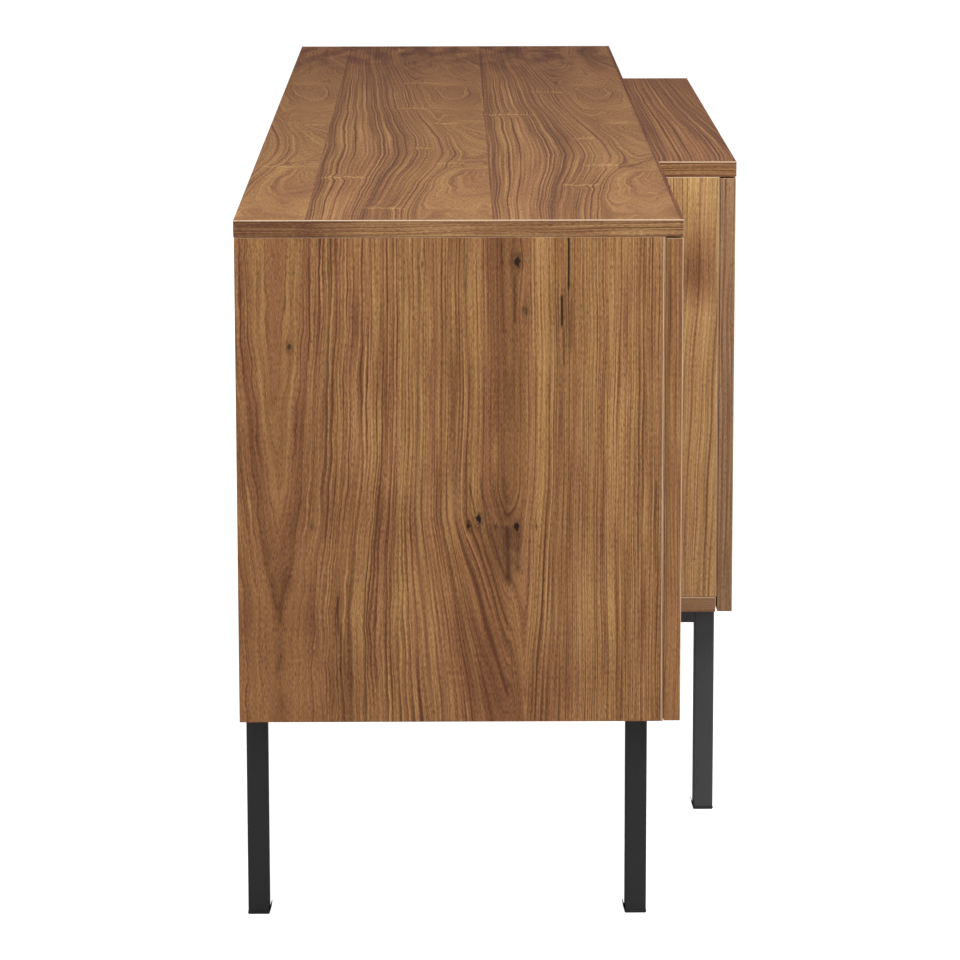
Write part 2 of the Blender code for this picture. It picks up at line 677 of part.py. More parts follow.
def build_latches(parts, cutters):
    z = SLAB_UNDER - LATCH_DROP
    for door in DOORS:
        x = latch_x(door)
        build_latch_body(door, x, z, parts, cutters)
        build_plunger(door, x, z, parts)


def main():
    clear_scene()
    parts = new_collection("sideboard")
    cutters = new_collection("cutters")
    build_top(parts)
    build_bottom(parts)
    build_end_panels(parts)
    build_uprights(parts)
    build_back(parts)
    build_shelves(parts)
    build_base(parts, cutters)
    build_doors(parts, cutters)
    build_latches(parts, cutters)
    bpy.context.view_layer.update()


main()
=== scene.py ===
"""The looks of a walnut breakfront sideboard, set around its packed construction.

Metres, +Z up. The doors face -Y, and the camera looks along +X at the left end. Inside the veneer's node
groups, sizes are in millimetres.
"""

from math import cos, radians, sin

import bmesh
import bpy
from mathutils import Matrix, Vector


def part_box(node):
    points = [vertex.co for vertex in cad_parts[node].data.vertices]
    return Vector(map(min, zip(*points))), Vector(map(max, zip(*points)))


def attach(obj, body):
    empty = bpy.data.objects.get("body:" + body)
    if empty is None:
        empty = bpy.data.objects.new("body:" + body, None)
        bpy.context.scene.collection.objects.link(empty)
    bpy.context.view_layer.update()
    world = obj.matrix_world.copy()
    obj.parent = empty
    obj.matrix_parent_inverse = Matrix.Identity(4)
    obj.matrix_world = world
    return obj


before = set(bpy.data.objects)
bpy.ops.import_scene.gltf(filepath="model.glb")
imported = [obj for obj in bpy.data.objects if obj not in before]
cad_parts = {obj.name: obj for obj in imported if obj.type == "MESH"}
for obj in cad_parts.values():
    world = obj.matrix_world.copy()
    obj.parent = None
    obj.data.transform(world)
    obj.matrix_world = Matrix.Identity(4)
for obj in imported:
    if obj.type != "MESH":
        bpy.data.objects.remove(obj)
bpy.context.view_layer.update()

bl_info = {
    "name": "Walnut Sideboard Looks",
    "version": (1, 0, 0),
    "blender": (4, 5, 0),
    "location": "View3D > Sidebar > Sideboard",
    "description": "Veneer, steel, fittings and studio for a breakfront sideboard",
    "category": "Object",
}

BAYS = ("left", "centre_left", "centre_right", "right")
LEVELS = ("lower", "upper")
UPRIGHTS = ("left_end_panel", "left_divider", "centre_partition", "right_divider", "right_end_panel")
MILLIMETRE = 0.001

# Places taken from the frame
END_LOW, END_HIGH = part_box("left_end_panel")
END_DEPTH = (END_HIGH.y - END_LOW.y) / MILLIMETRE
TOP_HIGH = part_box("top_panel")[1]
DIVIDER_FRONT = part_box("left_divider")[0].y
SIDE_DOOR_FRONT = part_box("left_door")[0].y
CENTRE_DOOR_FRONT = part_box("centre_left_door")[0].y

# The hinges' screws, in metres from each door's hinge edge and back: head radius and height, shank radius
# and length
PLATE_SCREW = (0.0036, 0.0014, 0.0019, 0.0018)
PLATE_FACE = 0.0172
PLATE_SCREW_SETBACK = 0.040
PLATE_SCREW_RISE = 0.016
CUP_SCREW = (0.0030, 0.0009, 0.0015, 0.0009)
CUP_FACE = 0.0013
CUP_SCREW_INSET = 0.0246
CUP_SCREW_RISE = 0.0225
ARM_SCREW = (0.0030, 0.0011, 0.0015, 0.0010)
# Each arm screw: how far back it sits, and how far in the arm's sloping crest is there
ARM_SCREWS = ((0.034, 0.02908), (0.045, 0.02858))
# A head's recess, in shares of its radius and height
RECESS_WIDTH = 0.14
RECESS_REACH = 0.55
RECESS_DEPTH = 0.6

# The camera, fitted to the photograph's edges
CAMERA_PLACE = Vector((-4.6261, 0.0454, 1.1305))
CAMERA_YAW = radians(-0.395)
CAMERA_PITCH = radians(10.603)
CAMERA_ROLL = radians(-0.092)
CAMERA_LENS = 160.66
SENSOR = 36.0

# The end panel's figure, in millimetres from the panel's rear edge and down from its top. At the rear the cut
# moves away from the pith on its way down, faster and faster, until it levels off.
REAR_PITH = 35.8
REAR_DEPTH = 8.4
REAR_DEPTH_RATE = 0.0263
REAR_DEPTH_CURVE = 0.00015
REAR_LEVELS_OFF = 335.0
# How pointed the rear arches are: 1 draws straight sides, and 2 an oval
REAR_POINT = 1.4
# Rings, half width and shade of the rear's dark and pale arches
REAR_ARCHES = (
    (20.0, 1.5, -0.1),
    (24.0, 1.8, 0.13),
    (33.0, 4.2, -0.2),
    (8.0, 14.0, -0.12),
)
FRONT_PITH = 241.0
FRONT_DEPTH = 5.5
# Where the rear figure turns into the front one, and the front one into straight lines
FIGURE_CHANGE = (95.0, 185.0)
FIGURE_END = (262.0, 330.0)
# Below the knots the lines fan out: where, their lean, the line that leans the most, the first line that
# leans, and how fast the lean grows between the two
KNOT_ROW = 250.0
FAN_LEAN = 0.21
FAN_EDGE = 196.5
FAN_START = 120.0
FAN_GROWTH = 1.6
# Knots: across, down, radius, darkness
END_KNOTS = (
    (214.0, 251.5, 2.2, 1.0),
    (205.4, 258.0, 1.3, 0.95),
    (247.8, 258.5, 2.1, 1.0),
    (229.5, 259.0, 1.7, 0.6),
    (238.5, 259.5, 1.0, 0.5),
    (264.5, 259.0, 1.4, 0.45),
    (248.0, 21.5, 2.7, 0.95),
    (165.5, 24.5, 1.3, 0.4),
    (47.8, 96.5, 1.7, 0.8),
    (255.3, 65.4, 1.7, 0.5),
    (66.0, 258.0, 1.3, 0.35),
)
# Dark streaks: across at the start and at the end, start, end, half width, darkness
END_STREAKS = (
    (293.5, 293.5, -12.0, 56.0, 1.2, 1.0),
    (295.5, 295.5, 48.0, 110.0, 0.8, 0.5),
    (287.3, 287.8, 46.0, 84.0, 1.4, 1.0),
    (289.5, 289.5, 75.0, 120.0, 0.9, 0.5),
    (234.5, 234.5, 2.0, 28.0, 1.1, 0.4),
    (246.0, 246.0, 24.0, 84.0, 1.6, 0.4),
    (88.0, 89.5, 314.0, 362.0, 1.0, 0.65),
    (91.5, 90.5, 338.0, 402.0, 0.9, 0.6),
    (94.0, 94.0, 352.0, 392.0, 0.8, 0.4),
    (205.0, 211.5, 214.0, 252.0, 0.9, 0.6),
    (214.8, 222.5, 205.0, 272.0, 1.1, 0.4),
    (219.0, 237.5, 250.0, 306.0, 3.0, 0.42),
    (231.0, 238.0, 250.0, 298.0, 2.6, 0.3),
    (237.0, 239.0, 206.0, 262.0, 2.6, 0.3),
    (239.5, 240.5, 248.0, 318.0, 3.2, 0.7),
    (244.5, 243.0, 262.0, 300.0, 2.2, 0.35),
    (249.3, 248.5, 254.0, 306.0, 3.6, 0.5),
    (242.5, 244.5, 366.0, 398.0, 0.9, 0.35),
    (371.0, 371.0, 205.0, 310.0, 1.4, 0.4),
    (202.0, 202.0, -20.0, 60.0, 1.2, 0.4),
)
# The fan's dark lines: their ring, half width, darkness, start
FAN_LINES = (
    (160.4, 1.9, 0.42, 235.0),
    (174.5, 1.7, 0.34, 255.0),
    (147.5, 1.5, 0.26, 200.0),
)

# The arches in each leaf of the top and doors, in millimetres: their middle from the leaf's join, where one
# starts along the board, their length, and how deep the cut passes over the pith
ARCH_MIDDLE = 135.0
ARCH_START = -471.0
ARCH_LENGTH = 430.0
ARCH_DEPTH = 42.0
# How far each leaf is slipped along its grain from the one before
LEAF_SLIP = 14.0

# The soft shadow below the knots: its middle and half width across, then its middle and reach down
SMUDGE = (239.0, 19.0, 274.0, 46.0)
# Broad dark and pale stripes: middle across, half width, shade
BROAD_STRIPES = (
    (228.0, 40.0, -0.2),
    (340.0, 45.0, 0.07),
    (165.0, 50.0, 0.04),
)
# Pale flames: middle and half width across, middle and reach down, shade
FLAMES = (
    (228.5, 4.5, 192.0, 36.0, 0.3),
    (190.0, 8.0, 235.0, 70.0, 0.12),
)

# Pale marks across the top's grain, where its lines kink; the paleness is a painted highlight: along and
# across the top, half length, strength, in millimetres
TOP_MARKS = (
    (-570.0, 147.0, 26.0, 0.9),
    (-816.0, 106.0, 22.0, 0.7),
    (-318.0, 74.0, 13.0, 0.7),
    (90.0, 85.0, 20.0, 0.8),
    (390.0, 80.0, 26.0, 0.9),
    (18.0, -18.0, 32.0, 0.9),
    (-642.0, -77.0, 20.0, 0.8),
    (-474.0, -106.0, 24.0, 0.8),
    (-228.0, -94.0, 14.0, 0.7),
    (276.0, -65.0, 24.0, 0.8),
    (-456.0, 41.0, 22.0, 0.5),
    (-72.0, 50.0, 18.0, 0.8),
    (-84.0, 188.0, 15.0, 0.8),
    (-480.0, 212.0, 16.0, 0.6),
    (-72.0, -130.0, 16.0, 0.6),
    (-702.0, -141.0, 5.0, 1.0),
)


class Wire:
    """A node's output that takes part in ordinary arithmetic, through Math nodes."""

    def __init__(self, socket):
        self.socket = socket

    def through(self, operation, *others):
        node = self.socket.id_data.nodes.new("ShaderNodeMath")
        node.operation = operation
        for slot, value in zip(node.inputs, (self, *others)):
            feed(slot, value)
        return Wire(node.outputs[0])

    def __add__(self, other):
        return self.through("ADD", other)

    def __sub__(self, other):
        return self.through("SUBTRACT", other)

    def __mul__(self, other):
        return self.through("MULTIPLY", other)

    def __truediv__(self, other):
        return self.through("DIVIDE", other)

    def __abs__(self):
        return self.through("ABSOLUTE")

    def __neg__(self):
        return self.through("MULTIPLY", -1)

    __radd__ = __add__
    __rmul__ = __mul__

    def __rsub__(self, other):
        return self.through("MULTIPLY_ADD", -1, other)

    def root(self):
        return self.through("SQRT")

    def power(self, exponent):
        return self.through("POWER", exponent)

    def floor(self):
        return self.through("FLOOR")

    def highest(self, other):
        return self.through("MAXIMUM", other)

    def above(self, other):
        return self.through("GREATER_THAN", other)

    def ranged(self, kind, *limits):
        node = self.socket.id_data.nodes.new("ShaderNodeMapRange")
        node.interpolation_type = kind
        for slot, value in zip(node.inputs, (self, *limits)):
            feed(slot, value)
        return Wire(node.outputs[0])

    def step(self, start, end, low=0.0, high=1.0):
        """Rises or falls smoothly between two values."""
        return self.ranged("SMOOTHSTEP", start, end, low, high)

    def slope(self, start, end, low=0.0, high=1.0):
        """Rises or falls evenly between two values, and stays level beyond them."""
        return self.ranged("LINEAR", start, end, low, high)

    def bell(self, middle, half_width):
        """One at the middle, falling smoothly to nothing at each side."""
        return abs(self - middle).step(0, half_width, 1, 0)


def feed(slot, value):
    """Links a wire to a socket, or sets the socket's value."""
    if isinstance(value, Wire):
        slot.id_data.links.new(value.socket, slot)
    else:
        slot.default_value = value


def blend(first, second, share):
    """The first value, turning into the second as the share goes from nothing to one."""
    return first + (second - first) * share


def noise(tree, *place, detail=1.0, rough=0.5):
    """Smooth noise from nothing to one, over one to three coordinates."""
    node = tree.nodes.new("ShaderNodeTexNoise")
    node.noise_dimensions = f"{len(place)}D"
    feed(node.inputs["Scale"], 1.0)
    feed(node.inputs["Detail"], detail)
    feed(node.inputs["Roughness"], rough)
    if len(place) == 1:
        feed(node.inputs["W"], place[0])
    else:
        feed(node.inputs["Vector"], vector(tree, *place))
    return Wire(node.outputs["Fac"])


def vector(tree, x, y, z=0.0):
    node = tree.nodes.new("ShaderNodeCombineXYZ")
    for slot, value in zip(node.inputs, (x, y, z)):
        feed(slot, value)
    return Wire(node.outputs[0])


def parts_of(tree, wire):
    node = tree.nodes.new("ShaderNodeSeparateXYZ")
    feed(node.inputs[0], wire)
    return [Wire(output) for output in node.outputs]


def vector_maths(tree, operation, first, second):
    node = tree.nodes.new("ShaderNodeVectorMath")
    node.operation = operation
    feed(node.inputs[0], first)
    feed(node.inputs[1], second)
    return Wire(node.outputs["Value" if operation == "DOT_PRODUCT" else "Vector"])


def tint(tree, first, second, share, mode="MIX"):
    """Mixes two colours."""
    node = tree.nodes.new("ShaderNodeMix")
    node.data_type = "RGBA"
    node.blend_type = mode
    feed(node.inputs["Factor"], share)
    feed(node.inputs[6], first)
    feed(node.inputs[7], second)
    return Wire(node.outputs[2])


def new_group(name, takes, gives):
    """An empty node group. Each socket is a name with its type and, for an input, its value."""
    tree = bpy.data.node_groups.new(name, "ShaderNodeTree")
    for title, kind, value in takes:
        socket = tree.interface.new_socket(name=title, in_out="INPUT", socket_type=kind)
        socket.default_value = value
    for title, kind in gives:
        tree.interface.new_socket(name=title, in_out="OUTPUT", socket_type=kind)
    inside = tree.nodes.new("NodeGroupInput")
    outside = tree.nodes.new("NodeGroupOutput")
    return tree, [Wire(output) for output in inside.outputs[:len(takes)]], outside.inputs


def placed(tree, group, **values):
    """Places a node group and returns its outputs by name. Underscores stand for spaces."""
    node = tree.nodes.new("ShaderNodeGroup")
    node.node_tree = group
    for title, value in values.items():
        feed(node.inputs[title.replace("_", " ").capitalize()], value)
    return {output.name: Wire(output) for output in node.outputs}


NUMBER = "NodeSocketFloat"
TRIPLE = "NodeSocketVector"
COLOUR = "NodeSocketColor"
BLACK = (0, 0, 0, 1)
WHITE = (1, 1, 1, 1)


def linear(red, green, blue):
    """A colour given as a screen shows it, from 0 to 255, as the light values that a shader takes."""
    values = [channel / 255 for channel in (red, green, blue)]
    return tuple(v / 12.92 if v <= 0.04045 else ((v + 0.055) / 1.055) ** 2.4 for v in values)


def opaque(colour):
    return (*colour[:3], 1.0)


def colour_setting(name, description, *screen):
    """A colour that the panel shows. Its default is given as a screen shows it."""
    return bpy.props.FloatVectorProperty(
        name=name, description=description, subtype="COLOR", size=3, min=0, max=1, default=linear(*screen))


def power_setting(name, description, power):
    """A light's power that the panel shows."""
    return bpy.props.FloatProperty(
        name=name, description=description, subtype="POWER", min=0, max=5000, default=power)


class WalnutSettings(bpy.types.PropertyGroup):
    """The veneer's colours and figure."""

    dark: colour_setting("Dark Line", "Colour of the darkest growth lines", 70, 42, 27)
    brown: colour_setting("Brown", "Colour of the dark bands", 100, 59, 38)
    middle: colour_setting("Middle", "Colour of most of the veneer", 147, 102, 65)
    pale: colour_setting("Pale", "Colour of the pale bands", 186, 143, 92)
    # The colour of the painted highlight on the eased edges that face the light
    arris: colour_setting("Eased Edge", "Colour that the lacquered edges catch", 222, 198, 170)
    leaf_width: bpy.props.FloatProperty(
        name="Leaf Width", description="Width of one sheet of veneer", subtype="DISTANCE",
        min=0.05, max=0.5, default=0.1643)
    first_join: bpy.props.FloatProperty(
        name="First Join", description="Place of the top's rearmost join, from its middle",
        subtype="DISTANCE", min=-0.5, max=0.5, default=0.1725)
    band_thickness: bpy.props.FloatProperty(
        name="Band Thickness", description="Thickness of the strips on the uprights' front edges",
        subtype="DISTANCE", min=0.0002, max=0.0014, default=0.001)
    roughness: bpy.props.FloatProperty(
        name="Roughness", description="How matt the lacquer is", subtype="FACTOR", min=0, max=1, default=0.5)
    grain_depth: bpy.props.FloatProperty(
        name="Grain Depth", description="Strength of the open pores", subtype="FACTOR",
        min=0, max=1, default=0.12)


class MetalSettings(bpy.types.PropertyGroup):
    """The steel's and the fittings' finishes."""

    steel: colour_setting("Steel", "Colour of the powder coat", 37, 37, 38)
    # The centre frames take a paler copy of the same coat: painted light, as the centre legs stand in more
    # light
    painted_light_steel: colour_setting("Centre Steel", "Colour of the powder coat under the middle", 72, 72, 73)
    steel_roughness: bpy.props.FloatProperty(
        name="Coat Roughness", description="How matt the powder coat is", subtype="FACTOR",
        min=0, max=1, default=0.5)
    screw: colour_setting("Screws", "Colour of the zinc screws", 188, 190, 194)
    nickel: colour_setting("Nickel", "Colour of the hinges", 205, 203, 198)


class StudioSettings(bpy.types.PropertyGroup):
    """The light and the floor."""

    key: power_setting("Key Light", "Power of the light over the camera", 70)
    side: power_setting("Side Light", "Power of the light behind the camera", 44)
    front: power_setting("Front Light", "Power of the light that faces the doors", 64)
    rear: power_setting("Rear Light", "Power of the light behind the far end", 36)
    far: power_setting("Far Light", "Power of the light that faces the right end", 40)
    surround: bpy.props.FloatProperty(
        name="Surround", description="Strength of the light from all round", min=0, max=5, default=0.2)
    floor_glow: bpy.props.FloatProperty(
        name="Floor Glow", description="Light that the floor shows the camera, which keeps its shadows faint",
        min=0, max=2, default=0.95)


def settings():
    return bpy.context.scene.sideboard


class SideboardSettings(bpy.types.PropertyGroup):
    """Everything that the panel shows."""

    walnut: bpy.props.PointerProperty(type=WalnutSettings)
    metal: bpy.props.PointerProperty(type=MetalSettings)
    studio: bpy.props.PointerProperty(type=StudioSettings)


# How squarely a face must look along a direction to count as facing it
FACING = 0.72


def shared(name, build):
    """A node group, built the first time that it is asked for."""
    return bpy.data.node_groups.get(name) or build(name)


def build_board_directions(name):
    """Turns a point on a board into millimetres across and along its grain, from the face that it is on."""
    tree, (grain, edge_grain, face), out = new_group(
        name,
        [("Grain", TRIPLE, (0, 0, 1)), ("Edge grain", TRIPLE, (0, 1, 0)), ("Face", TRIPLE, (1, 0, 0))],
        [("Across", NUMBER), ("Along", NUMBER), ("On face", NUMBER), ("Arris", NUMBER), ("Front", NUMBER),
         ("Height", NUMBER)])
    source = tree.nodes.new("ShaderNodeTexCoord")
    place = vector_maths(tree, "SCALE", Wire(source.outputs["Object"]), (0, 0, 0))
    place.socket.node.inputs["Scale"].default_value = 1 / MILLIMETRE
    normal = Wire(source.outputs["Normal"])
    with_grain = abs(vector_maths(tree, "DOT_PRODUCT", normal, grain)).above(FACING)
    straight = vector_maths(tree, "CROSS_PRODUCT", normal, grain)
    turned = vector_maths(tree, "CROSS_PRODUCT", normal, edge_grain)
    across = blend(
        vector_maths(tree, "DOT_PRODUCT", place, straight),
        vector_maths(tree, "DOT_PRODUCT", place, turned), with_grain)
    along = blend(
        vector_maths(tree, "DOT_PRODUCT", place, grain),
        vector_maths(tree, "DOT_PRODUCT", place, edge_grain), with_grain)
    x, y, z = parts_of(tree, normal)
    squareness = abs(x).highest(abs(y)).highest(abs(z))
    feed(out["Across"], across)
    feed(out["Along"], along)
    feed(out["On face"], abs(vector_maths(tree, "DOT_PRODUCT", normal, face)).above(FACING))
    spot = parts_of(tree, place)
    feed(out["Front"], -spot[1])
    feed(out["Height"], spot[2])
    # Eased edges that face the front and the top get a painted highlight; this output masks where it goes.
    lit = z * 0.6 - y * 0.8
    feed(out["Arris"], squareness.step(0.965, 0.99, 1, 0) * lit.step(0.2, 0.4))
    return tree


def build_growth_figure(name):
    """Wood colour from the distance to the pith: lines of even tone follow equal distances."""
    tree, given, out = new_group(
        name,
        [("Ring", NUMBER, 0), ("Across", NUMBER, 0), ("Along", NUMBER, 0), ("Lightness", NUMBER, 0),
         ("Lines", NUMBER, 1), ("Bands", NUMBER, 1), ("Contrast", NUMBER, 1), ("Redness", NUMBER, 0),
         ("Mark", NUMBER, 0), ("Glint", NUMBER, 0), ("Gain", TRIPLE, (1, 1, 1)), ("Dark", COLOUR, BLACK),
         ("Brown", COLOUR, BLACK), ("Middle", COLOUR, BLACK), ("Pale", COLOUR, BLACK),
         ("Arris", COLOUR, BLACK)],
        [("Colour", COLOUR), ("Height", NUMBER), ("Dullness", NUMBER)])
    ring, across, along, lightness, lines, breadth, contrast, redness, mark, glint = given[:10]
    gain, dark, brown, middle, pale, arris = given[10:]
    bands = noise(tree, ring / 34, along / 1800, detail=2, rough=0.9) - 0.5
    years = ring / 3.2 + noise(tree, ring / 13 + 50, along / 2500, detail=1) * 3.4
    year = years.floor()
    season = years - year
    strong = noise(tree, year * 0.73, along / 500, detail=1).step(0.38, 0.66)
    year_line = season.step(0.45, 0.92) * season.step(0.94, 1.0, 1, 0) * strong * lines
    hairs = (noise(tree, ring / 1.5 + 90, along / 90, detail=1) - 0.5) * lines
    fibres = noise(tree, across / 0.8, along / 4 + 7, detail=1) - 0.5
    mottle = noise(tree, across / 45 + 11, along / 70, detail=3) - 0.5
    pale_line = season.step(0.0, 0.12) * season.step(0.12, 0.35, 1, 0) * strong * lines
    drawn = bands * (lines * 0.3 + 0.6) * breadth - year_line * 0.55 + pale_line * 0.2
    tone = 0.58 + lightness + (drawn + hairs + fibres * 0.7 + mottle * 0.35) * contrast
    dark_line = noise(tree, ring / 5 + 17, along / 900, detail=1).step(0.62, 0.76) * lines
    pore_row = noise(tree, ring / 4 + 61, along / 150).step(0.35, 0.6, 0.35, 1)
    pore = noise(tree, across / 0.5 + 5, along / 5, detail=1).step(0.55, 0.68) * pore_row
    low = tint(tree, brown, middle, tone.slope(0.0, 0.5))
    wood = tint(tree, low, pale, tone.slope(0.5, 1.0))
    wood = tint(tree, wood, dark, dark_line * contrast * 0.4)
    wood = tint(tree, wood, dark, pore * contrast * 0.55)
    warmth = noise(tree, ring / 12 + 33, along / 400, detail=1).step(0.35, 0.7)
    red = tint(tree, wood, (1.015, 0.99, 1.0, 1), 1.0, "MULTIPLY")
    gold = tint(tree, wood, (0.99, 1.005, 0.93, 1), 1.0, "MULTIPLY")
    wood = tint(tree, tint(tree, red, gold, warmth), (0.97, 0.87, 0.86, 1), redness, "MULTIPLY")
    wood = vector_maths(tree, "MULTIPLY", wood, gain)
    wood = tint(tree, wood, tint(tree, dark, BLACK, 0.75), mark)
    # Mixes in the painted highlight along the eased edges and the pale lines that stand for it.
    feed(out["Colour"], tint(tree, wood, arris, glint * 0.8))
    feed(out["Height"], 1 - pore * 0.8 - dark_line * 0.25 + fibres * 0.2)
    feed(out["Dullness"], pore * 0.15 + bands * 0.2 + fibres * 0.06)
    return tree


def build_plain_figure(name):
    """Straight grain, which wanders a little."""
    tree, (across, along), out = new_group(
        name, [("Across", NUMBER, 0), ("Along", NUMBER, 0)], [("Ring", NUMBER)])
    feed(out["Ring"], across + (noise(tree, across / 90, along / 300, detail=2) - 0.5) * 14 + 700)
    return tree


def ring_distance(from_pith, depth):
    """Distance to the pith of a point on a flat cut, which draws the cut's pointed arches."""
    return (from_pith * from_pith + depth * depth).root()


def build_leaf_figure(name):
    """Slip-matched leaves: the same arched figure over and over, each leaf starting at a dark join."""
    tree, (across, along, width, join, slip), out = new_group(
        name,
        [("Across", NUMBER, 0), ("Along", NUMBER, 0), ("Width", NUMBER, 164), ("Join", NUMBER, 0),
         ("Slip", NUMBER, 0)],
        [("Ring", NUMBER), ("Lightness", NUMBER), ("Lines", NUMBER)])
    count = (across - join) / width
    leaf = count.floor()
    local = (count - leaf) * width
    run = along + leaf * slip
    sag = run.bell(-330, 520) - run.step(100, 850, 0, 0.9)
    drawn = local / (1 + sag * 0.42)
    swirl = drawn.step(80, 125)
    wander = (noise(tree, local / 110, run / 230, leaf * 0.31, detail=1) - 0.5) * 26
    ripple = (noise(tree, local / 50 + 9, run / 70, leaf * 0.4, detail=1) - 0.5) * 8
    curl = (noise(tree, local / 30 + 40, run / 90, leaf * 0.4, detail=2) - 0.5) * 15
    moved = drawn + wander * (swirl * 0.8 + 0.3) + ripple * (swirl + 0.2) + curl * swirl
    arch = (run - ARCH_START) / ARCH_LENGTH
    arch = arch - arch.floor()
    beside = moved - ARCH_MIDDLE
    opening = (arch.slope(0, 0.86, 1, 0) + arch.step(0.86, 1)) * abs(beside).step(12, 52, 1, 0)
    uneven = (noise(tree, local / 22, run / 75, leaf * 0.7, detail=1) - 0.5) * 22
    ring = ring_distance(beside, opening * (ARCH_DEPTH + uneven) + 4)
    whorl = arch.step(0.88, 1) * arch.step(0.0, 0.05, 0.5, 0).highest(0.4) * abs(beside).step(6, 30, 1, 0)
    feed(out["Ring"], ring + leaf * 2)
    join_line = local.step(0, 1.4, -0.16, 0) + local.step(0, 16, -0.12, 0)
    feed(out["Lightness"], join_line + local.step(70, 130, -0.05, 0.06) + whorl * 0.3)
    feed(out["Lines"], (abs(beside) / ring).step(0.2, 1.0, 0.5, 1.0) + local.step(75, 120, 0.2, -0.15))
    return tree


def build_end_figure(name):
    """The end panel's own figure: two flights of arches that point down, knots and dark streaks."""
    tree, (across, down), out = new_group(
        name, [("Across", NUMBER, 0), ("Down", NUMBER, 0)],
        [("Ring", NUMBER), ("Lightness", NUMBER), ("Mark", NUMBER), ("Lines", NUMBER), ("Bands", NUMBER)])
    wander = (noise(tree, across / 80, down / 170, detail=1) - 0.5) * 6
    waver = (noise(tree, across / 16 + 3, down / 60, detail=1) - 0.5) * 1.6
    moved = across + wander + waver
    ragged = (noise(tree, across / 2.6 + 21, down / 3.4, detail=1) - 0.5) * 3.4
    marks = None
    for knot_across, knot_down, radius, darkness in END_KNOTS:
        beside = across - knot_across
        below = down - knot_down
        spread = beside * beside + below * below * 0.09
        moved = moved - beside * (radius * radius * 2.2) / (spread + radius * radius * 0.8)
        spot = (beside * beside + below * below * 0.4).root() + ragged
        core = spot.step(radius * 0.8, radius * 1.4, darkness, 0)
        mark = core.highest(spot.step(radius, radius * 3.4, darkness * 0.4, 0))
        marks = mark if marks is None else marks.highest(mark)
    for first, last, start, end, half_width, darkness in END_STREAKS:
        centre, reach = (start + end) / 2, (end - start) / 2
        off_streak = abs(across + waver * 0.6 - down.slope(start, end, first, last))
        marks = marks.highest(
            off_streak.step(0, half_width * 1.6, 1, 0) * down.bell(centre, reach).step(0, 0.35) * darkness)
    streaks = noise(tree, across / 1.6 + 9, down / 30, detail=2).step(0.35, 0.65, 0.2, 0.6)
    middle, half_width, centre, reach = SMUDGE
    marks = marks.highest((across + waver).bell(middle, half_width) * down.bell(centre, reach) * streaks)
    from_rear = moved - REAR_PITH
    fall = down - (down - REAR_LEVELS_OFF).highest(0) * 0.95
    tips = (noise(tree, across / 9 + 5, down / 34, detail=2) - 0.5) * 6
    depth = fall * (fall * REAR_DEPTH_CURVE + REAR_DEPTH_RATE) + REAR_DEPTH + tips
    rear = abs(from_rear).power(REAR_POINT) + depth.highest(0).power(REAR_POINT)
    rear = rear.power(1 / REAR_POINT)
    beside = moved - FRONT_PITH
    lean = (down - across.slope(200, 225, KNOT_ROW, KNOT_ROW - 25)).highest(0) * FAN_LEAN
    share = ((moved - FAN_START) / (lean + (FAN_EDGE - FAN_START))).slope(0, 1).power(FAN_GROWTH)
    right_share = beside.step(0, 14, 1, 0.3) * beside.step(20, 70, 1, 0)
    span = FRONT_PITH - REAR_PITH
    front = span - ring_distance(beside, FRONT_DEPTH) - lean * share * right_share
    straight = span - beside * 1.3
    at_front, at_end = across.step(*FIGURE_CHANGE), across.step(*FIGURE_END)
    ring = blend(blend(rear, front, at_front), straight, at_end)
    feed(out["Ring"], ring)
    rear_lines = (abs(from_rear) / rear).step(0.3, 1.0, 0.22, 1.1)
    fan = across.step(125, 165) * across.step(222, 246, 1, 0) * down.step(225, 300)
    front_lines = across.bell(FRONT_PITH - 4, 42).step(0, 1, 1, 0.45) * (1 - fan * 0.1)
    feed(out["Lines"], blend(rear_lines, front_lines, at_front))
    feed(out["Bands"], 1 - fan * 0.55)
    shade = sum(rear.bell(middle, half_width) * change for middle, half_width, change in REAR_ARCHES)
    shade = shade * (1 - at_front)
    left_of_pith = across.step(FRONT_PITH - 2, FRONT_PITH, 1, 0)
    for distance, half_width, darkness, start in FAN_LINES:
        strength = down.step(start, start + 30, 0, darkness) * down.step(380, 470, 1, 0.4)
        shade = shade - ring.bell(distance, half_width) * left_of_pith * strength
    for middle, half_width, change in BROAD_STRIPES:
        shade = shade + across.bell(middle, half_width) * change
    for middle, half_width, centre, reach, change in FLAMES:
        shade = shade + across.bell(middle, half_width) * down.bell(centre, reach) * change
    # Paler towards the front, partly the veneer's tone and partly painted light from the front; darker
    # towards the bottom.
    feed(out["Lightness"], shade + across.slope(0, 395, -0.08, 0.04) + down.slope(0, 435, 0.04, -0.08))
    feed(out["Mark"], marks)
    return tree


EVEN = (1.0, 1.0, 1.0)
GREYED = (0.99, 1.12, 1.6)
LACQUER_SPECULAR = 0.15
PORE_DEPTH = 0.0003
COAT_SPECULAR = 0.4
COAT_DEPTH = 0.0002


def new_material(name):
    """A material, its node tree and its shader."""
    material = bpy.data.materials.new(name)
    material.use_nodes = True
    return material, material.node_tree, material.node_tree.nodes["Principled BSDF"]


def add_relief(tree, shader, height, strength, distance):
    """Turns a height into small relief on a shader's surface."""
    bump = tree.nodes.new("ShaderNodeBump")
    feed(bump.inputs["Strength"], strength)
    feed(bump.inputs["Distance"], distance)
    feed(bump.inputs["Height"], height)
    feed(shader.inputs["Normal"], Wire(bump.outputs[0]))


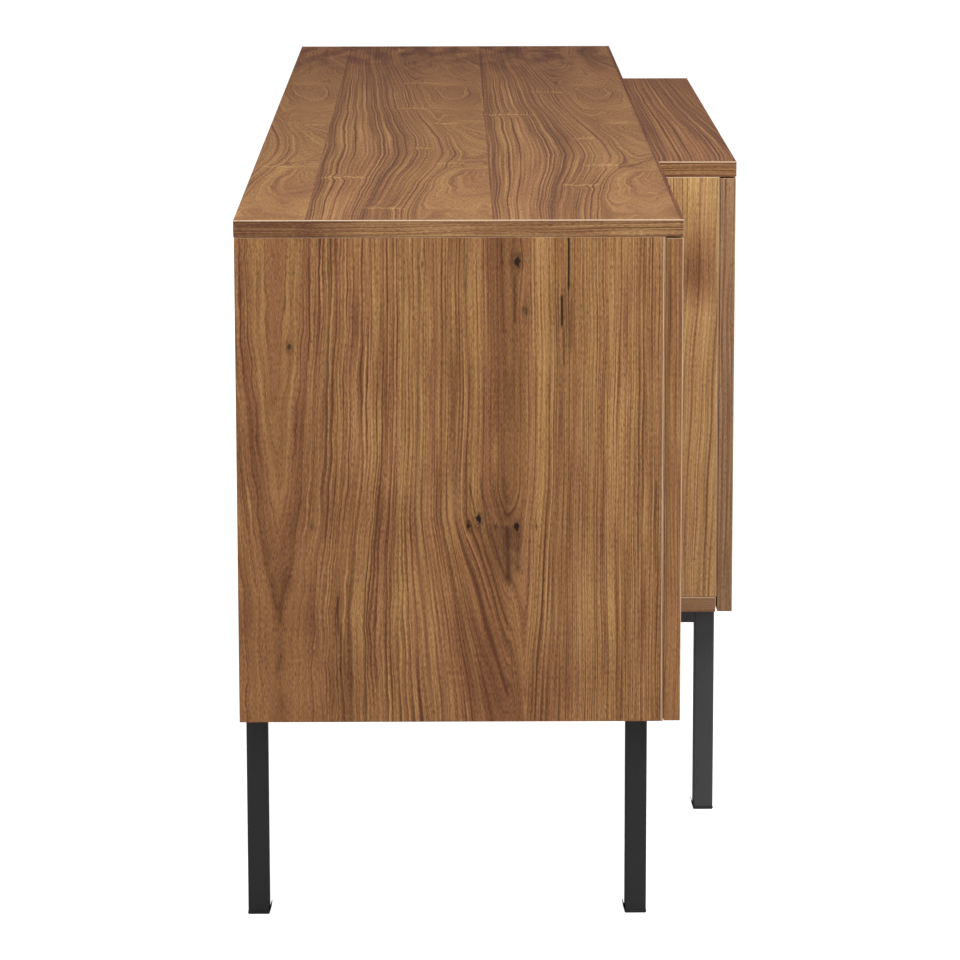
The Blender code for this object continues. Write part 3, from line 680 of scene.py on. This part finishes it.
def walnut(name, grain, edge_grain, face, figure=None, edge=None, lightness=0.0, offset=(0.0, 0.0),
           contrast=1.0, edge_contrast=0.65, stretch=1.0, gain=EVEN, edge_gain=EVEN):
    """A veneered board's material. Without a figure of its own, a board has straight grain."""
    look = settings().walnut
    material, tree, shader = new_material(name)
    where = placed(
        tree, shared("board_directions", build_board_directions), grain=grain, edge_grain=edge_grain,
        face=face)
    across = where["Across"] + offset[0]
    along = where["Along"] + offset[1]
    on_face = where["On face"]
    plain = placed(tree, shared("plain_figure", build_plain_figure), across=across, along=along)
    none = on_face * 0
    drawn = {
        "ring": plain["Ring"], "shade": none, "lines": none + 1, "bands": none + 1, "mark": none,
        "redness": none}
    # The painted highlight on eased edges, joined below by the figure's and the edge band's painted
    # highlights.
    glint = where["Arris"]
    if figure is not None:
        own = figure(tree, across, along)
        for title in own:
            if title == "glint":
                glint = glint.highest(own[title] * on_face)
            else:
                drawn[title] = blend(drawn[title], own[title], on_face)
    off_face = 1 - on_face
    if edge is not None:
        own = edge(along, where["Front"], where["Height"])
        drawn["shade"] = drawn["shade"] + own["shade"] * off_face
        glint = glint.highest(own["glint"] * off_face)
        off_face = off_face * own.get("grey", 1)
    wood = placed(
        tree, shared("growth_figure", build_growth_figure), ring=drawn["ring"], across=across,
        along=along * on_face.slope(0, 1, 1, stretch), lightness=drawn["shade"] + lightness,
        lines=drawn["lines"], bands=drawn["bands"], contrast=on_face.slope(0, 1, edge_contrast, contrast),
        redness=drawn["redness"], mark=drawn["mark"], glint=glint,
        gain=tint(tree, opaque(gain), opaque(edge_gain), off_face),
        dark=opaque(look.dark), brown=opaque(look.brown), middle=opaque(look.middle), pale=opaque(look.pale),
        arris=opaque(look.arris))
    feed(shader.inputs["Base Color"], wood["Colour"])
    feed(shader.inputs["Roughness"], wood["Dullness"] + look.roughness)
    feed(shader.inputs["Specular IOR Level"], LACQUER_SPECULAR)
    add_relief(tree, shader, wood["Height"], look.grain_depth, PORE_DEPTH)
    return material


def place_leaves(tree, across, along, join):
    """Slip-matched leaves as wide as the settings say, with a join at a distance across the board."""
    return placed(
        tree, shared("leaf_figure", build_leaf_figure), across=across, along=along,
        width=settings().walnut.leaf_width / MILLIMETRE, join=join, slip=LEAF_SLIP)


def leaves(join):
    """A board's figure of slip-matched leaves."""
    def figure(tree, across, along):
        leaf = place_leaves(tree, across, along, join)
        return {"ring": leaf["Ring"], "shade": leaf["Lightness"], "lines": leaf["Lines"]}
    return figure


def build_top_marks(name):
    """Pale marks across the grain, where the top's lines kink; the paleness is a painted highlight."""
    tree, (across, along), out = new_group(
        name, [("Across", NUMBER, 0), ("Along", NUMBER, 0)], [("Gleam", NUMBER), ("Kink", NUMBER)])
    bent = along + (noise(tree, across / 9, along / 60, detail=1) - 0.5) * 22
    gleam = kink = None
    for mark_along, mark_across, half_length, strength in TOP_MARKS:
        reach = across.bell(mark_across, half_length * 1.25)
        line = bent.bell(mark_along, 8) * reach.step(0, 0.6) * strength
        pull = along.bell(mark_along, 34) * reach * strength
        gleam = line if gleam is None else gleam.highest(line)
        kink = pull if kink is None else kink.highest(pull)
    feed(out["Gleam"], gleam)
    feed(out["Kink"], kink)
    return tree


def top_figure(tree, across, along):
    """The top's leaves, with the pale marks that cross them, painted highlights where their lines kink."""
    marks = placed(tree, shared("top_marks", build_top_marks), across=across, along=along)
    join = -settings().walnut.first_join / MILLIMETRE
    leaf = place_leaves(tree, marks["Kink"] * 5 - across, along, join)
    # Towards the far end the top turns darker and redder: the blotches are the veneer's figure, the even
    # darkening and the redness are painted shade.
    far = along.step(380, 880, 0, 1)
    blotch = (noise(tree, across / 24 + 31, along / 95, detail=3).step(0.4, 0.6) - 1) * far
    step = across.step(-158, -152, -0.09, 0)
    shade = leaf["Lightness"] + marks["Gleam"] * 0.55 + blotch * 0.36 - far * 0.06 + step
    redness = along.slope(-300, 800, 0, 1.3) + across.step(-158, -152, 0.4, 0)
    return {"ring": leaf["Ring"], "shade": shade, "lines": leaf["Lines"], "redness": redness}


def slab_edge(along, front, height):
    """The top's edge band, darker towards the rear and just under its upper eased edge, which gets a painted
    highlight.
    """
    top = TOP_HIGH.z / MILLIMETRE
    seam = height.bell(top - 1.9, 1.0) * -0.35
    shade = along.step(110, 165, 0, -0.32) - along.bell(170, 18) * 0.15 + seam
    return {"shade": shade, "glint": height.step(top - 1.1, top - 0.6)}


def door_edge(along, front, height):
    """A door's edge band, with a painted highlight along the eased edge next to its front."""
    side = front.bell(-SIDE_DOOR_FRONT / MILLIMETRE, 1.2)
    centre = front.bell(-CENTRE_DOOR_FRONT / MILLIMETRE, 1.2)
    return {"shade": along * 0, "glint": side.highest(centre), "grey": front.step(170, 190)}


def divider_figure(tree, across, along):
    """Grain that leans forward on its way down, with a dark patch near its top."""
    down = END_HIGH.z / MILLIMETRE - along
    from_front = across - 60 - DIVIDER_FRONT / MILLIMETRE
    lean = from_front - down.step(60, 420, 0, 14)
    wander = (noise(tree, across / 70, along / 190, detail=1) - 0.5) * 9
    patch = down.bell(92, 52) * from_front.bell(24, 34) * -0.5
    return {
        "ring": lean + wander + 300, "shade": patch + down.slope(0, 400, 0.04, -0.06),
        "lines": down * 0 + 0.85}


def end_figure(tree, across, along):
    """The figure of the left end, whose rear top corner is where its sizes start."""
    down = END_HIGH.z / MILLIMETRE - along
    from_rear = END_HIGH.y / MILLIMETRE - across
    leaf = placed(tree, shared("end_figure", build_end_figure), across=from_rear, down=down)
    # A painted highlight: a pale line on the face next to the panel's front eased edge.
    glint = from_rear.step(END_DEPTH - 1.2, END_DEPTH - 0.7)
    return {
        "ring": leaf["Ring"], "shade": leaf["Lightness"], "lines": leaf["Lines"], "mark": leaf["Mark"],
        "bands": leaf["Bands"], "glint": glint}


def dress(node, material):
    """Gives a CAD node its finish through its object's slot."""
    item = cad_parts[node]
    for slot in item.material_slots:
        slot.link = "OBJECT"
        slot.material = material
    return item


ACROSS_X, ACROSS_Y, ACROSS_Z = (1, 0, 0), (0, 1, 0), (0, 0, 1)


class SIDEBOARD_OT_top(bpy.types.Operator):
    """Veneer the top in slip-matched leaves"""

    bl_idname = "sideboard.top"
    bl_label = "Top"

    def execute(self, context):
        finish = walnut(
            "walnut_top", ACROSS_X, ACROSS_Y, ACROSS_Z, top_figure, slab_edge, lightness=-0.03, contrast=0.8,
            edge_contrast=0.95, stretch=0.25, edge_gain=(1.0, 1.09, 1.2))
        dress("top_panel", finish)
        return {"FINISHED"}


class SIDEBOARD_OT_ends(bpy.types.Operator):
    """Veneer the two end panels, each with upright grain"""

    bl_idname = "sideboard.ends"
    bl_label = "End Panels"

    def execute(self, context):
        dress("left_end_panel", walnut("walnut_left_end", ACROSS_Z, ACROSS_Y, ACROSS_X, end_figure))
        dress("right_end_panel", walnut("walnut_right_end", ACROSS_Z, ACROSS_Y, ACROSS_X, leaves(20)))
        return {"FINISHED"}


class SIDEBOARD_OT_doors(bpy.types.Operator):
    """Veneer the doors with upright grain that runs on from leaf to leaf"""

    bl_idname = "sideboard.doors"
    bl_label = "Doors"

    def execute(self, context):
        finish = walnut(
            "walnut_doors", ACROSS_Z, ACROSS_X, ACROSS_Y, leaves(0), door_edge, edge_contrast=0.75,
            edge_gain=(1.02, 1.21, 1.6))
        for bay in BAYS:
            dress(f"{bay}_door", finish)
        return {"FINISHED"}


class SIDEBOARD_OT_uprights(bpy.types.Operator):
    """Veneer the dividers and the centre partition, a little paler than the ends"""

    bl_idname = "sideboard.uprights"
    bl_label = "Uprights"

    def execute(self, context):
        finish = walnut(
            "walnut_uprights", ACROSS_Z, ACROSS_Y, ACROSS_X, divider_figure, lightness=0.06, offset=(60, 0),
            contrast=0.85, gain=(1.44, 1.68, 1.86), edge_gain=(1.2, 1.3, 1.4))
        for node in UPRIGHTS[1:-1]:
            dress(node, finish)
        return {"FINISHED"}


def add_object(name, data):
    """Makes an object of its data and links it to the scene."""
    item = bpy.data.objects.new(name, data)
    bpy.context.scene.collection.objects.link(item)
    return item


def mesh_of(name, shape):
    """Turns a bmesh into a mesh."""
    mesh = bpy.data.meshes.new(name)
    shape.to_mesh(mesh)
    shape.free()
    return mesh


def piece(name, shape, material, body):
    """Makes an object of a bmesh, which rides on a body and takes the finish that it is given."""
    bmesh.ops.recalc_face_normals(shape, faces=shape.faces)
    mesh = mesh_of(name, shape)
    mesh.materials.append(material)
    item = add_object(name, mesh)
    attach(item, body)


def box_between(low, high):
    """A bmesh box between two corners."""
    shape = bmesh.new()
    bmesh.ops.create_cube(shape, size=1)
    bmesh.ops.scale(shape, vec=Vector(high) - Vector(low), verts=shape.verts)
    bmesh.ops.translate(shape, vec=(Vector(low) + Vector(high)) / 2, verts=shape.verts)
    return shape


def screw_shape(radius, height, shank, length):
    """A pan head with a crossed recess, standing on Z = 0, and its shank below."""
    shape = bmesh.new()
    bmesh.ops.create_circle(shape, cap_ends=True, radius=radius, segments=20)
    top = bmesh.ops.extrude_face_region(shape, geom=shape.faces[:])["geom"]
    rim = [item for item in top if isinstance(item, bmesh.types.BMEdge)]
    bmesh.ops.translate(
        shape, vec=(0, 0, height), verts=[item for item in top if isinstance(item, bmesh.types.BMVert)])
    bmesh.ops.bevel(
        shape, geom=rim, offset=height * 0.45, segments=3, profile=0.5, affect="EDGES", material=-1)
    half_width, reach = radius * RECESS_WIDTH, radius * RECESS_REACH
    for axis in (Vector((1, 0, 0)), Vector((0, 1, 0))):
        for distance in (-reach, -half_width, half_width, reach):
            bmesh.ops.bisect_plane(
                shape, geom=shape.verts[:] + shape.edges[:] + shape.faces[:], plane_co=axis * distance,
                plane_no=axis)
    recess = []
    for face in shape.faces:
        x, y, z = (abs(value) for value in face.calc_center_median())
        if z > height * 0.99 and min(x, y) < half_width and max(x, y) < reach:
            recess.append(face)
    sunk = bmesh.ops.extrude_face_region(shape, geom=recess)["geom"]
    bmesh.ops.translate(
        shape, vec=(0, 0, -height * RECESS_DEPTH),
        verts=[item for item in sunk if isinstance(item, bmesh.types.BMVert)])
    bmesh.ops.create_cone(
        shape, cap_ends=True, segments=16, radius1=shank, radius2=shank, depth=length,
        matrix=Matrix.Translation((0, 0, -length / 2)))
    return shape


def set_screws(name, body, size, places, facing, material):
    """Sets like screws on their places, with their heads facing one way, as one piece."""
    pattern = mesh_of("screw_pattern", screw_shape(*size))
    turn = Vector(facing).to_track_quat("Z", "Y").to_matrix().to_4x4()
    shape = bmesh.new()
    for place in places:
        placed_before = len(shape.verts)
        shape.from_mesh(pattern)
        shape.verts.ensure_lookup_table()
        bmesh.ops.transform(
            shape, matrix=Matrix.Translation(place) @ turn, verts=shape.verts[placed_before:])
    bpy.data.meshes.remove(pattern)
    piece(name, shape, material, body)


class SIDEBOARD_OT_screws(bpy.types.Operator):
    """Screw the hinges' plates to the uprights and their cups to the doors, and add each arm's two screws"""

    bl_idname = "sideboard.screws"
    bl_label = "Hinge Screws"

    def execute(self, context):
        steel = plated("zinc_screw", settings().metal.screw)
        for bay in BAYS:
            door_low, door_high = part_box(f"{bay}_door")
            side = 1 if bay in ("left", "centre_left") else -1
            edge = door_low.x if side > 0 else door_high.x
            plate, cup, arm = [], [], []
            for level in LEVELS:
                low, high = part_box(f"{bay}_{level}_hinge_arm")
                middle = (low.z + high.z) / 2
                for rise in (-PLATE_SCREW_RISE, PLATE_SCREW_RISE):
                    plate.append((
                        edge + side * PLATE_FACE, door_high.y + PLATE_SCREW_SETBACK, middle + rise))
                for rise in (-CUP_SCREW_RISE, CUP_SCREW_RISE):
                    cup.append((edge + side * CUP_SCREW_INSET, door_high.y + CUP_FACE, middle + rise))
                for setback, face in ARM_SCREWS:
                    arm.append((edge + side * face, door_high.y + setback, middle))
            set_screws(f"{bay}_plate_screws", "carcass", PLATE_SCREW, plate, (side, 0, 0), steel)
            set_screws(f"{bay}_arm_screws", "carcass", ARM_SCREW, arm, (side, 0, 0), steel)
            set_screws(f"{bay}_cup_screws", f"{bay}_door", CUP_SCREW, cup, (0, 1, 0), steel)
        return {"FINISHED"}


class SIDEBOARD_OT_edge_bands(bpy.types.Operator):
    """Band the uprights' front edges with strips of veneer, behind the doors"""

    bl_idname = "sideboard.edge_bands"
    bl_label = "Edge Bands"

    def execute(self, context):
        look = settings().walnut
        finish = walnut("walnut_edge_bands", ACROSS_Z, ACROSS_X, ACROSS_Y, lightness=0.05, offset=(320, 0))
        for upright in UPRIGHTS:
            low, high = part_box(upright)
            shape = box_between((low.x, low.y - look.band_thickness, low.z), (high.x, low.y, high.z))
            front = [edge for edge in shape.edges if all(corner.co.y < low.y for corner in edge.verts)]
            bmesh.ops.bevel(
                shape, geom=front, offset=look.band_thickness * 0.3, segments=2, profile=0.5, affect="EDGES",
                material=-1)
            piece(f"{upright}_edge_band", shape, finish, "carcass")
        return {"FINISHED"}


class SIDEBOARD_OT_flat_boards(bpy.types.Operator):
    """Veneer the bottom and the shelves with grain along the cabinet"""

    bl_idname = "sideboard.flat_boards"
    bl_label = "Bottom and Shelves"

    def execute(self, context):
        dress("bottom_panel", walnut(
            "walnut_bottom", ACROSS_X, ACROSS_Y, ACROSS_Z, lightness=-0.05, offset=(30, 0),
            edge_contrast=0.45, edge_gain=GREYED))
        inside = walnut("walnut_shelves", ACROSS_X, ACROSS_Y, ACROSS_Z, lightness=0.15, offset=(210, 0))
        for bay in BAYS:
            dress(f"{bay}_shelf", inside)
        dress("back_panel", walnut(
            "walnut_back", ACROSS_X, ACROSS_Z, ACROSS_Y, lightness=-0.1, offset=(400, 0)))
        return {"FINISHED"}


def place_in(tree):
    """The three coordinates of the shaded point, in metres."""
    source = tree.nodes.new("ShaderNodeTexCoord")
    return parts_of(tree, Wire(source.outputs["Object"]))


def shaded(tree, colour, shade):
    """A colour, made darker or paler by a number."""
    return vector_maths(tree, "MULTIPLY", colour, vector(tree, shade, shade, shade))


def build_pebbled_coat(name):
    """A fine pebble, and a faint cloud in the colour."""
    tree, (colour, roughness, grain), out = new_group(
        name, [("Colour", COLOUR, BLACK), ("Roughness", NUMBER, 0.5), ("Grain", NUMBER, 1200)],
        [("Colour", COLOUR), ("Roughness", NUMBER), ("Height", NUMBER)])
    x, y, z = place_in(tree)
    pebble = noise(tree, x * grain, y * grain, z * grain, detail=2)
    cloud = noise(tree, x * 9, y * 9, z * 9, detail=3)
    feed(out["Colour"], shaded(tree, colour, cloud * 0.24 + 0.88))
    feed(out["Roughness"], cloud * 0.12 + pebble * 0.08 + roughness - 0.1)
    feed(out["Height"], pebble)
    return tree


def build_drawn_plate(name):
    """Fine drawing marks, and smudges in the colour."""
    tree, (colour,), out = new_group(
        name, [("Colour", COLOUR, BLACK)], [("Colour", COLOUR), ("Roughness", NUMBER)])
    x, y, z = place_in(tree)
    drawn = noise(tree, x * 300, y * 300, z * 4000, detail=2)
    smudge = noise(tree, x * 60, y * 60, z * 60, detail=3)
    feed(out["Colour"], shaded(tree, colour, smudge * 0.15 + 0.85))
    feed(out["Roughness"], smudge * 0.15 + drawn * 0.1 + 0.2)
    return tree


def powder_coat(name, colour, roughness, grain=1200, strength=0.12):
    """A finely pebbled coating over metal, or moulded plastic with a finer pebble."""
    material, tree, shader = new_material(name)
    coat = placed(
        tree, shared("pebbled_coat", build_pebbled_coat), colour=opaque(colour), roughness=roughness,
        grain=grain)
    feed(shader.inputs["Base Color"], coat["Colour"])
    feed(shader.inputs["Roughness"], coat["Roughness"])
    feed(shader.inputs["Specular IOR Level"], COAT_SPECULAR)
    add_relief(tree, shader, coat["Height"], strength, COAT_DEPTH)
    return material


def plated(name, colour):
    """Nickel or zinc plate."""
    material, tree, shader = new_material(name)
    plate = placed(tree, shared("drawn_plate", build_drawn_plate), colour=opaque(colour))
    feed(shader.inputs["Base Color"], plate["Colour"])
    feed(shader.inputs["Metallic"], 1.0)
    feed(shader.inputs["Roughness"], plate["Roughness"])
    return material


FOOT_PLASTIC = linear(30, 30, 31)
LATCH_PLASTIC = linear(150, 150, 148)
PLASTIC_GRAIN = 2600
PLASTIC_RELIEF = 0.08


class SIDEBOARD_OT_legs(bpy.types.Operator):
    """Coat the steel frames and give their feet a black plastic"""

    bl_idname = "sideboard.legs"
    bl_label = "Legs and Feet"

    def execute(self, context):
        look = settings().metal
        steel = powder_coat("black_powder_coat", look.steel, look.steel_roughness)
        # The centre frames' paler coat is painted light.
        painted_light_steel = powder_coat("centre_powder_coat", look.painted_light_steel, look.steel_roughness)
        plastic = powder_coat("black_foot_plastic", FOOT_PLASTIC, 0.6, PLASTIC_GRAIN, PLASTIC_RELIEF)
        for hand in ("left", "right"):
            dress(f"{hand}_end_frame", steel)
            dress(f"{hand}_centre_frame", painted_light_steel)
            for place in ("front", "rear", "centre"):
                dress(f"{hand}_{place}_glide", plastic)
        return {"FINISHED"}


class SIDEBOARD_OT_fittings(bpy.types.Operator):
    """Plate the hinges and give the latches a grey plastic"""

    bl_idname = "sideboard.fittings"
    bl_label = "Hinges and Latches"

    def execute(self, context):
        nickel = plated("nickel_plate", settings().metal.nickel)
        plastic = powder_coat("grey_latch_plastic", LATCH_PLASTIC, 0.5, PLASTIC_GRAIN, PLASTIC_RELIEF)
        for bay in BAYS:
            dress(f"{bay}_latch_body", plastic)
            dress(f"{bay}_latch_plunger", plastic)
            for level in LEVELS:
                for part in ("cup", "link", "arm"):
                    dress(f"{bay}_{level}_hinge_{part}", nickel)
        return {"FINISHED"}


def place_camera():
    data = bpy.data.cameras.new("camera")
    data.lens = CAMERA_LENS
    data.sensor_width = SENSOR
    data.clip_end = 200
    camera = add_object("camera", data)
    forward = Vector((
        cos(CAMERA_YAW) * cos(CAMERA_PITCH), sin(CAMERA_YAW) * cos(CAMERA_PITCH), -sin(CAMERA_PITCH)))
    level = Vector((sin(CAMERA_YAW), -cos(CAMERA_YAW), 0))
    upright = level.cross(forward)
    right = level * cos(CAMERA_ROLL) + upright * sin(CAMERA_ROLL)
    up = upright * cos(CAMERA_ROLL) - level * sin(CAMERA_ROLL)
    turn = Matrix((right, up, -forward)).transposed()
    camera.matrix_world = Matrix.Translation(CAMERA_PLACE) @ turn.to_4x4()
    bpy.context.scene.camera = camera


def area_light(name, place, target, size, power):
    data = bpy.data.lights.new(name, "AREA")
    data.shape = "RECTANGLE"
    data.size, data.size_y = size
    data.energy = power
    light = add_object(name, data)
    light.location = place
    light.rotation_mode = "QUATERNION"
    light.rotation_quaternion = (Vector(target) - Vector(place)).to_track_quat("-Z", "Y")


# How bright the camera sees the backdrop, then the floor's reach from the middle, in metres, and its finish
BACKDROP = 1.05
FLOOR_REACH = 30
FLOOR_COLOUR = (0.55, 0.55, 0.55, 1)
FLOOR_ROUGHNESS = 0.9


def seen_by_camera(tree):
    """One where the camera looks straight at a surface, and nothing for the light that it throws."""
    path = tree.nodes.new("ShaderNodeLightPath")
    return Wire(path.outputs["Is Camera Ray"])


def light_surround(strength):
    """A white backdrop for the camera, and a softer light from all round."""
    world = bpy.data.worlds.new("surround")
    bpy.context.scene.world = world
    world.use_nodes = True
    tree = world.node_tree
    background = tree.nodes["Background"]
    feed(background.inputs["Color"], WHITE)
    feed(background.inputs["Strength"], seen_by_camera(tree).step(0, 1, strength, BACKDROP))


def lay_floor(glow):
    shape = bmesh.new()
    bmesh.ops.create_grid(shape, x_segments=2, y_segments=2, size=FLOOR_REACH)
    mesh = mesh_of("floor", shape)
    floor = add_object("floor", mesh)
    material, tree, shader = new_material("pale_floor")
    feed(shader.inputs["Base Color"], FLOOR_COLOUR)
    feed(shader.inputs["Roughness"], FLOOR_ROUGHNESS)
    feed(shader.inputs["Specular IOR Level"], 0.0)
    feed(shader.inputs["Emission Color"], WHITE)
    feed(shader.inputs["Emission Strength"], seen_by_camera(tree) * glow)
    mesh.materials.append(material)


# Each light's name, as its power's in the settings, with its place, what it faces, and its width and height
LIGHTS = (
    ("key", (-1.9, -0.4, 2.9), (-0.9, 0, 0.6), (1.8, 1.8)),
    ("side", (-4.6, 0.4, 1.9), (-0.9, 0, 0.4), (1.6, 1.6)),
    ("front", (-1.0, -3.6, 1.8), (-0.3, 0, 0.4), (2.4, 2.0)),
    ("far", (3.6, -2.2, 1.7), (0.7, 0, 0.4), (2.0, 2.0)),
    ("rear", (2.4, 3.0, 2.2), (0.3, 0, 0.4), (2.4, 2.0)),
)


class SIDEBOARD_OT_stage(bpy.types.Operator):
    """Set the camera, the soft lights and the pale floor"""

    bl_idname = "sideboard.stage"
    bl_label = "Stage"

    def execute(self, context):
        look = settings().studio
        context.scene.view_settings.view_transform = "Standard"
        place_camera()
        light_surround(look.surround)
        for name, place, target, size in LIGHTS:
            area_light(f"{name}_light", place, target, size, getattr(look, name))
        lay_floor(look.floor_glow)
        return {"FINISHED"}


class SIDEBOARD_PT_looks(bpy.types.Panel):
    """Lists the sideboard's finishes and the buttons that apply them"""

    bl_idname = "SIDEBOARD_PT_looks"
    bl_label = "Sideboard"
    bl_space_type = "VIEW_3D"
    bl_region_type = "UI"
    bl_category = "Sideboard"

    def draw(self, context):
        look = context.scene.sideboard
        for title, group in (("Walnut", look.walnut), ("Metal", look.metal), ("Studio", look.studio)):
            box = self.layout.box()
            box.label(text=title)
            for name in group.__annotations__:
                box.prop(group, name)
        for operator in OPERATORS:
            self.layout.operator(operator.bl_idname)


OPERATORS = (
    SIDEBOARD_OT_stage,
    SIDEBOARD_OT_top,
    SIDEBOARD_OT_ends,
    SIDEBOARD_OT_doors,
    SIDEBOARD_OT_uprights,
    SIDEBOARD_OT_edge_bands,
    SIDEBOARD_OT_flat_boards,
    SIDEBOARD_OT_legs,
    SIDEBOARD_OT_fittings,
    SIDEBOARD_OT_screws,
)
CLASSES = (WalnutSettings, MetalSettings, StudioSettings, SideboardSettings, *OPERATORS, SIDEBOARD_PT_looks)


def register():
    for item in CLASSES:
        bpy.utils.register_class(item)
    bpy.types.Scene.sideboard = bpy.props.PointerProperty(type=SideboardSettings)


def unregister():
    del bpy.types.Scene.sideboard
    for item in reversed(CLASSES):
        bpy.utils.unregister_class(item)


def main():
    register()
    bpy.ops.sideboard.stage()
    bpy.ops.sideboard.top()
    bpy.ops.sideboard.ends()
    bpy.ops.sideboard.doors()
    bpy.ops.sideboard.uprights()
    bpy.ops.sideboard.edge_bands()
    bpy.ops.sideboard.flat_boards()
    bpy.ops.sideboard.legs()
    bpy.ops.sideboard.fittings()
    bpy.ops.sideboard.screws()


if __name__ == "__main__":
    main()
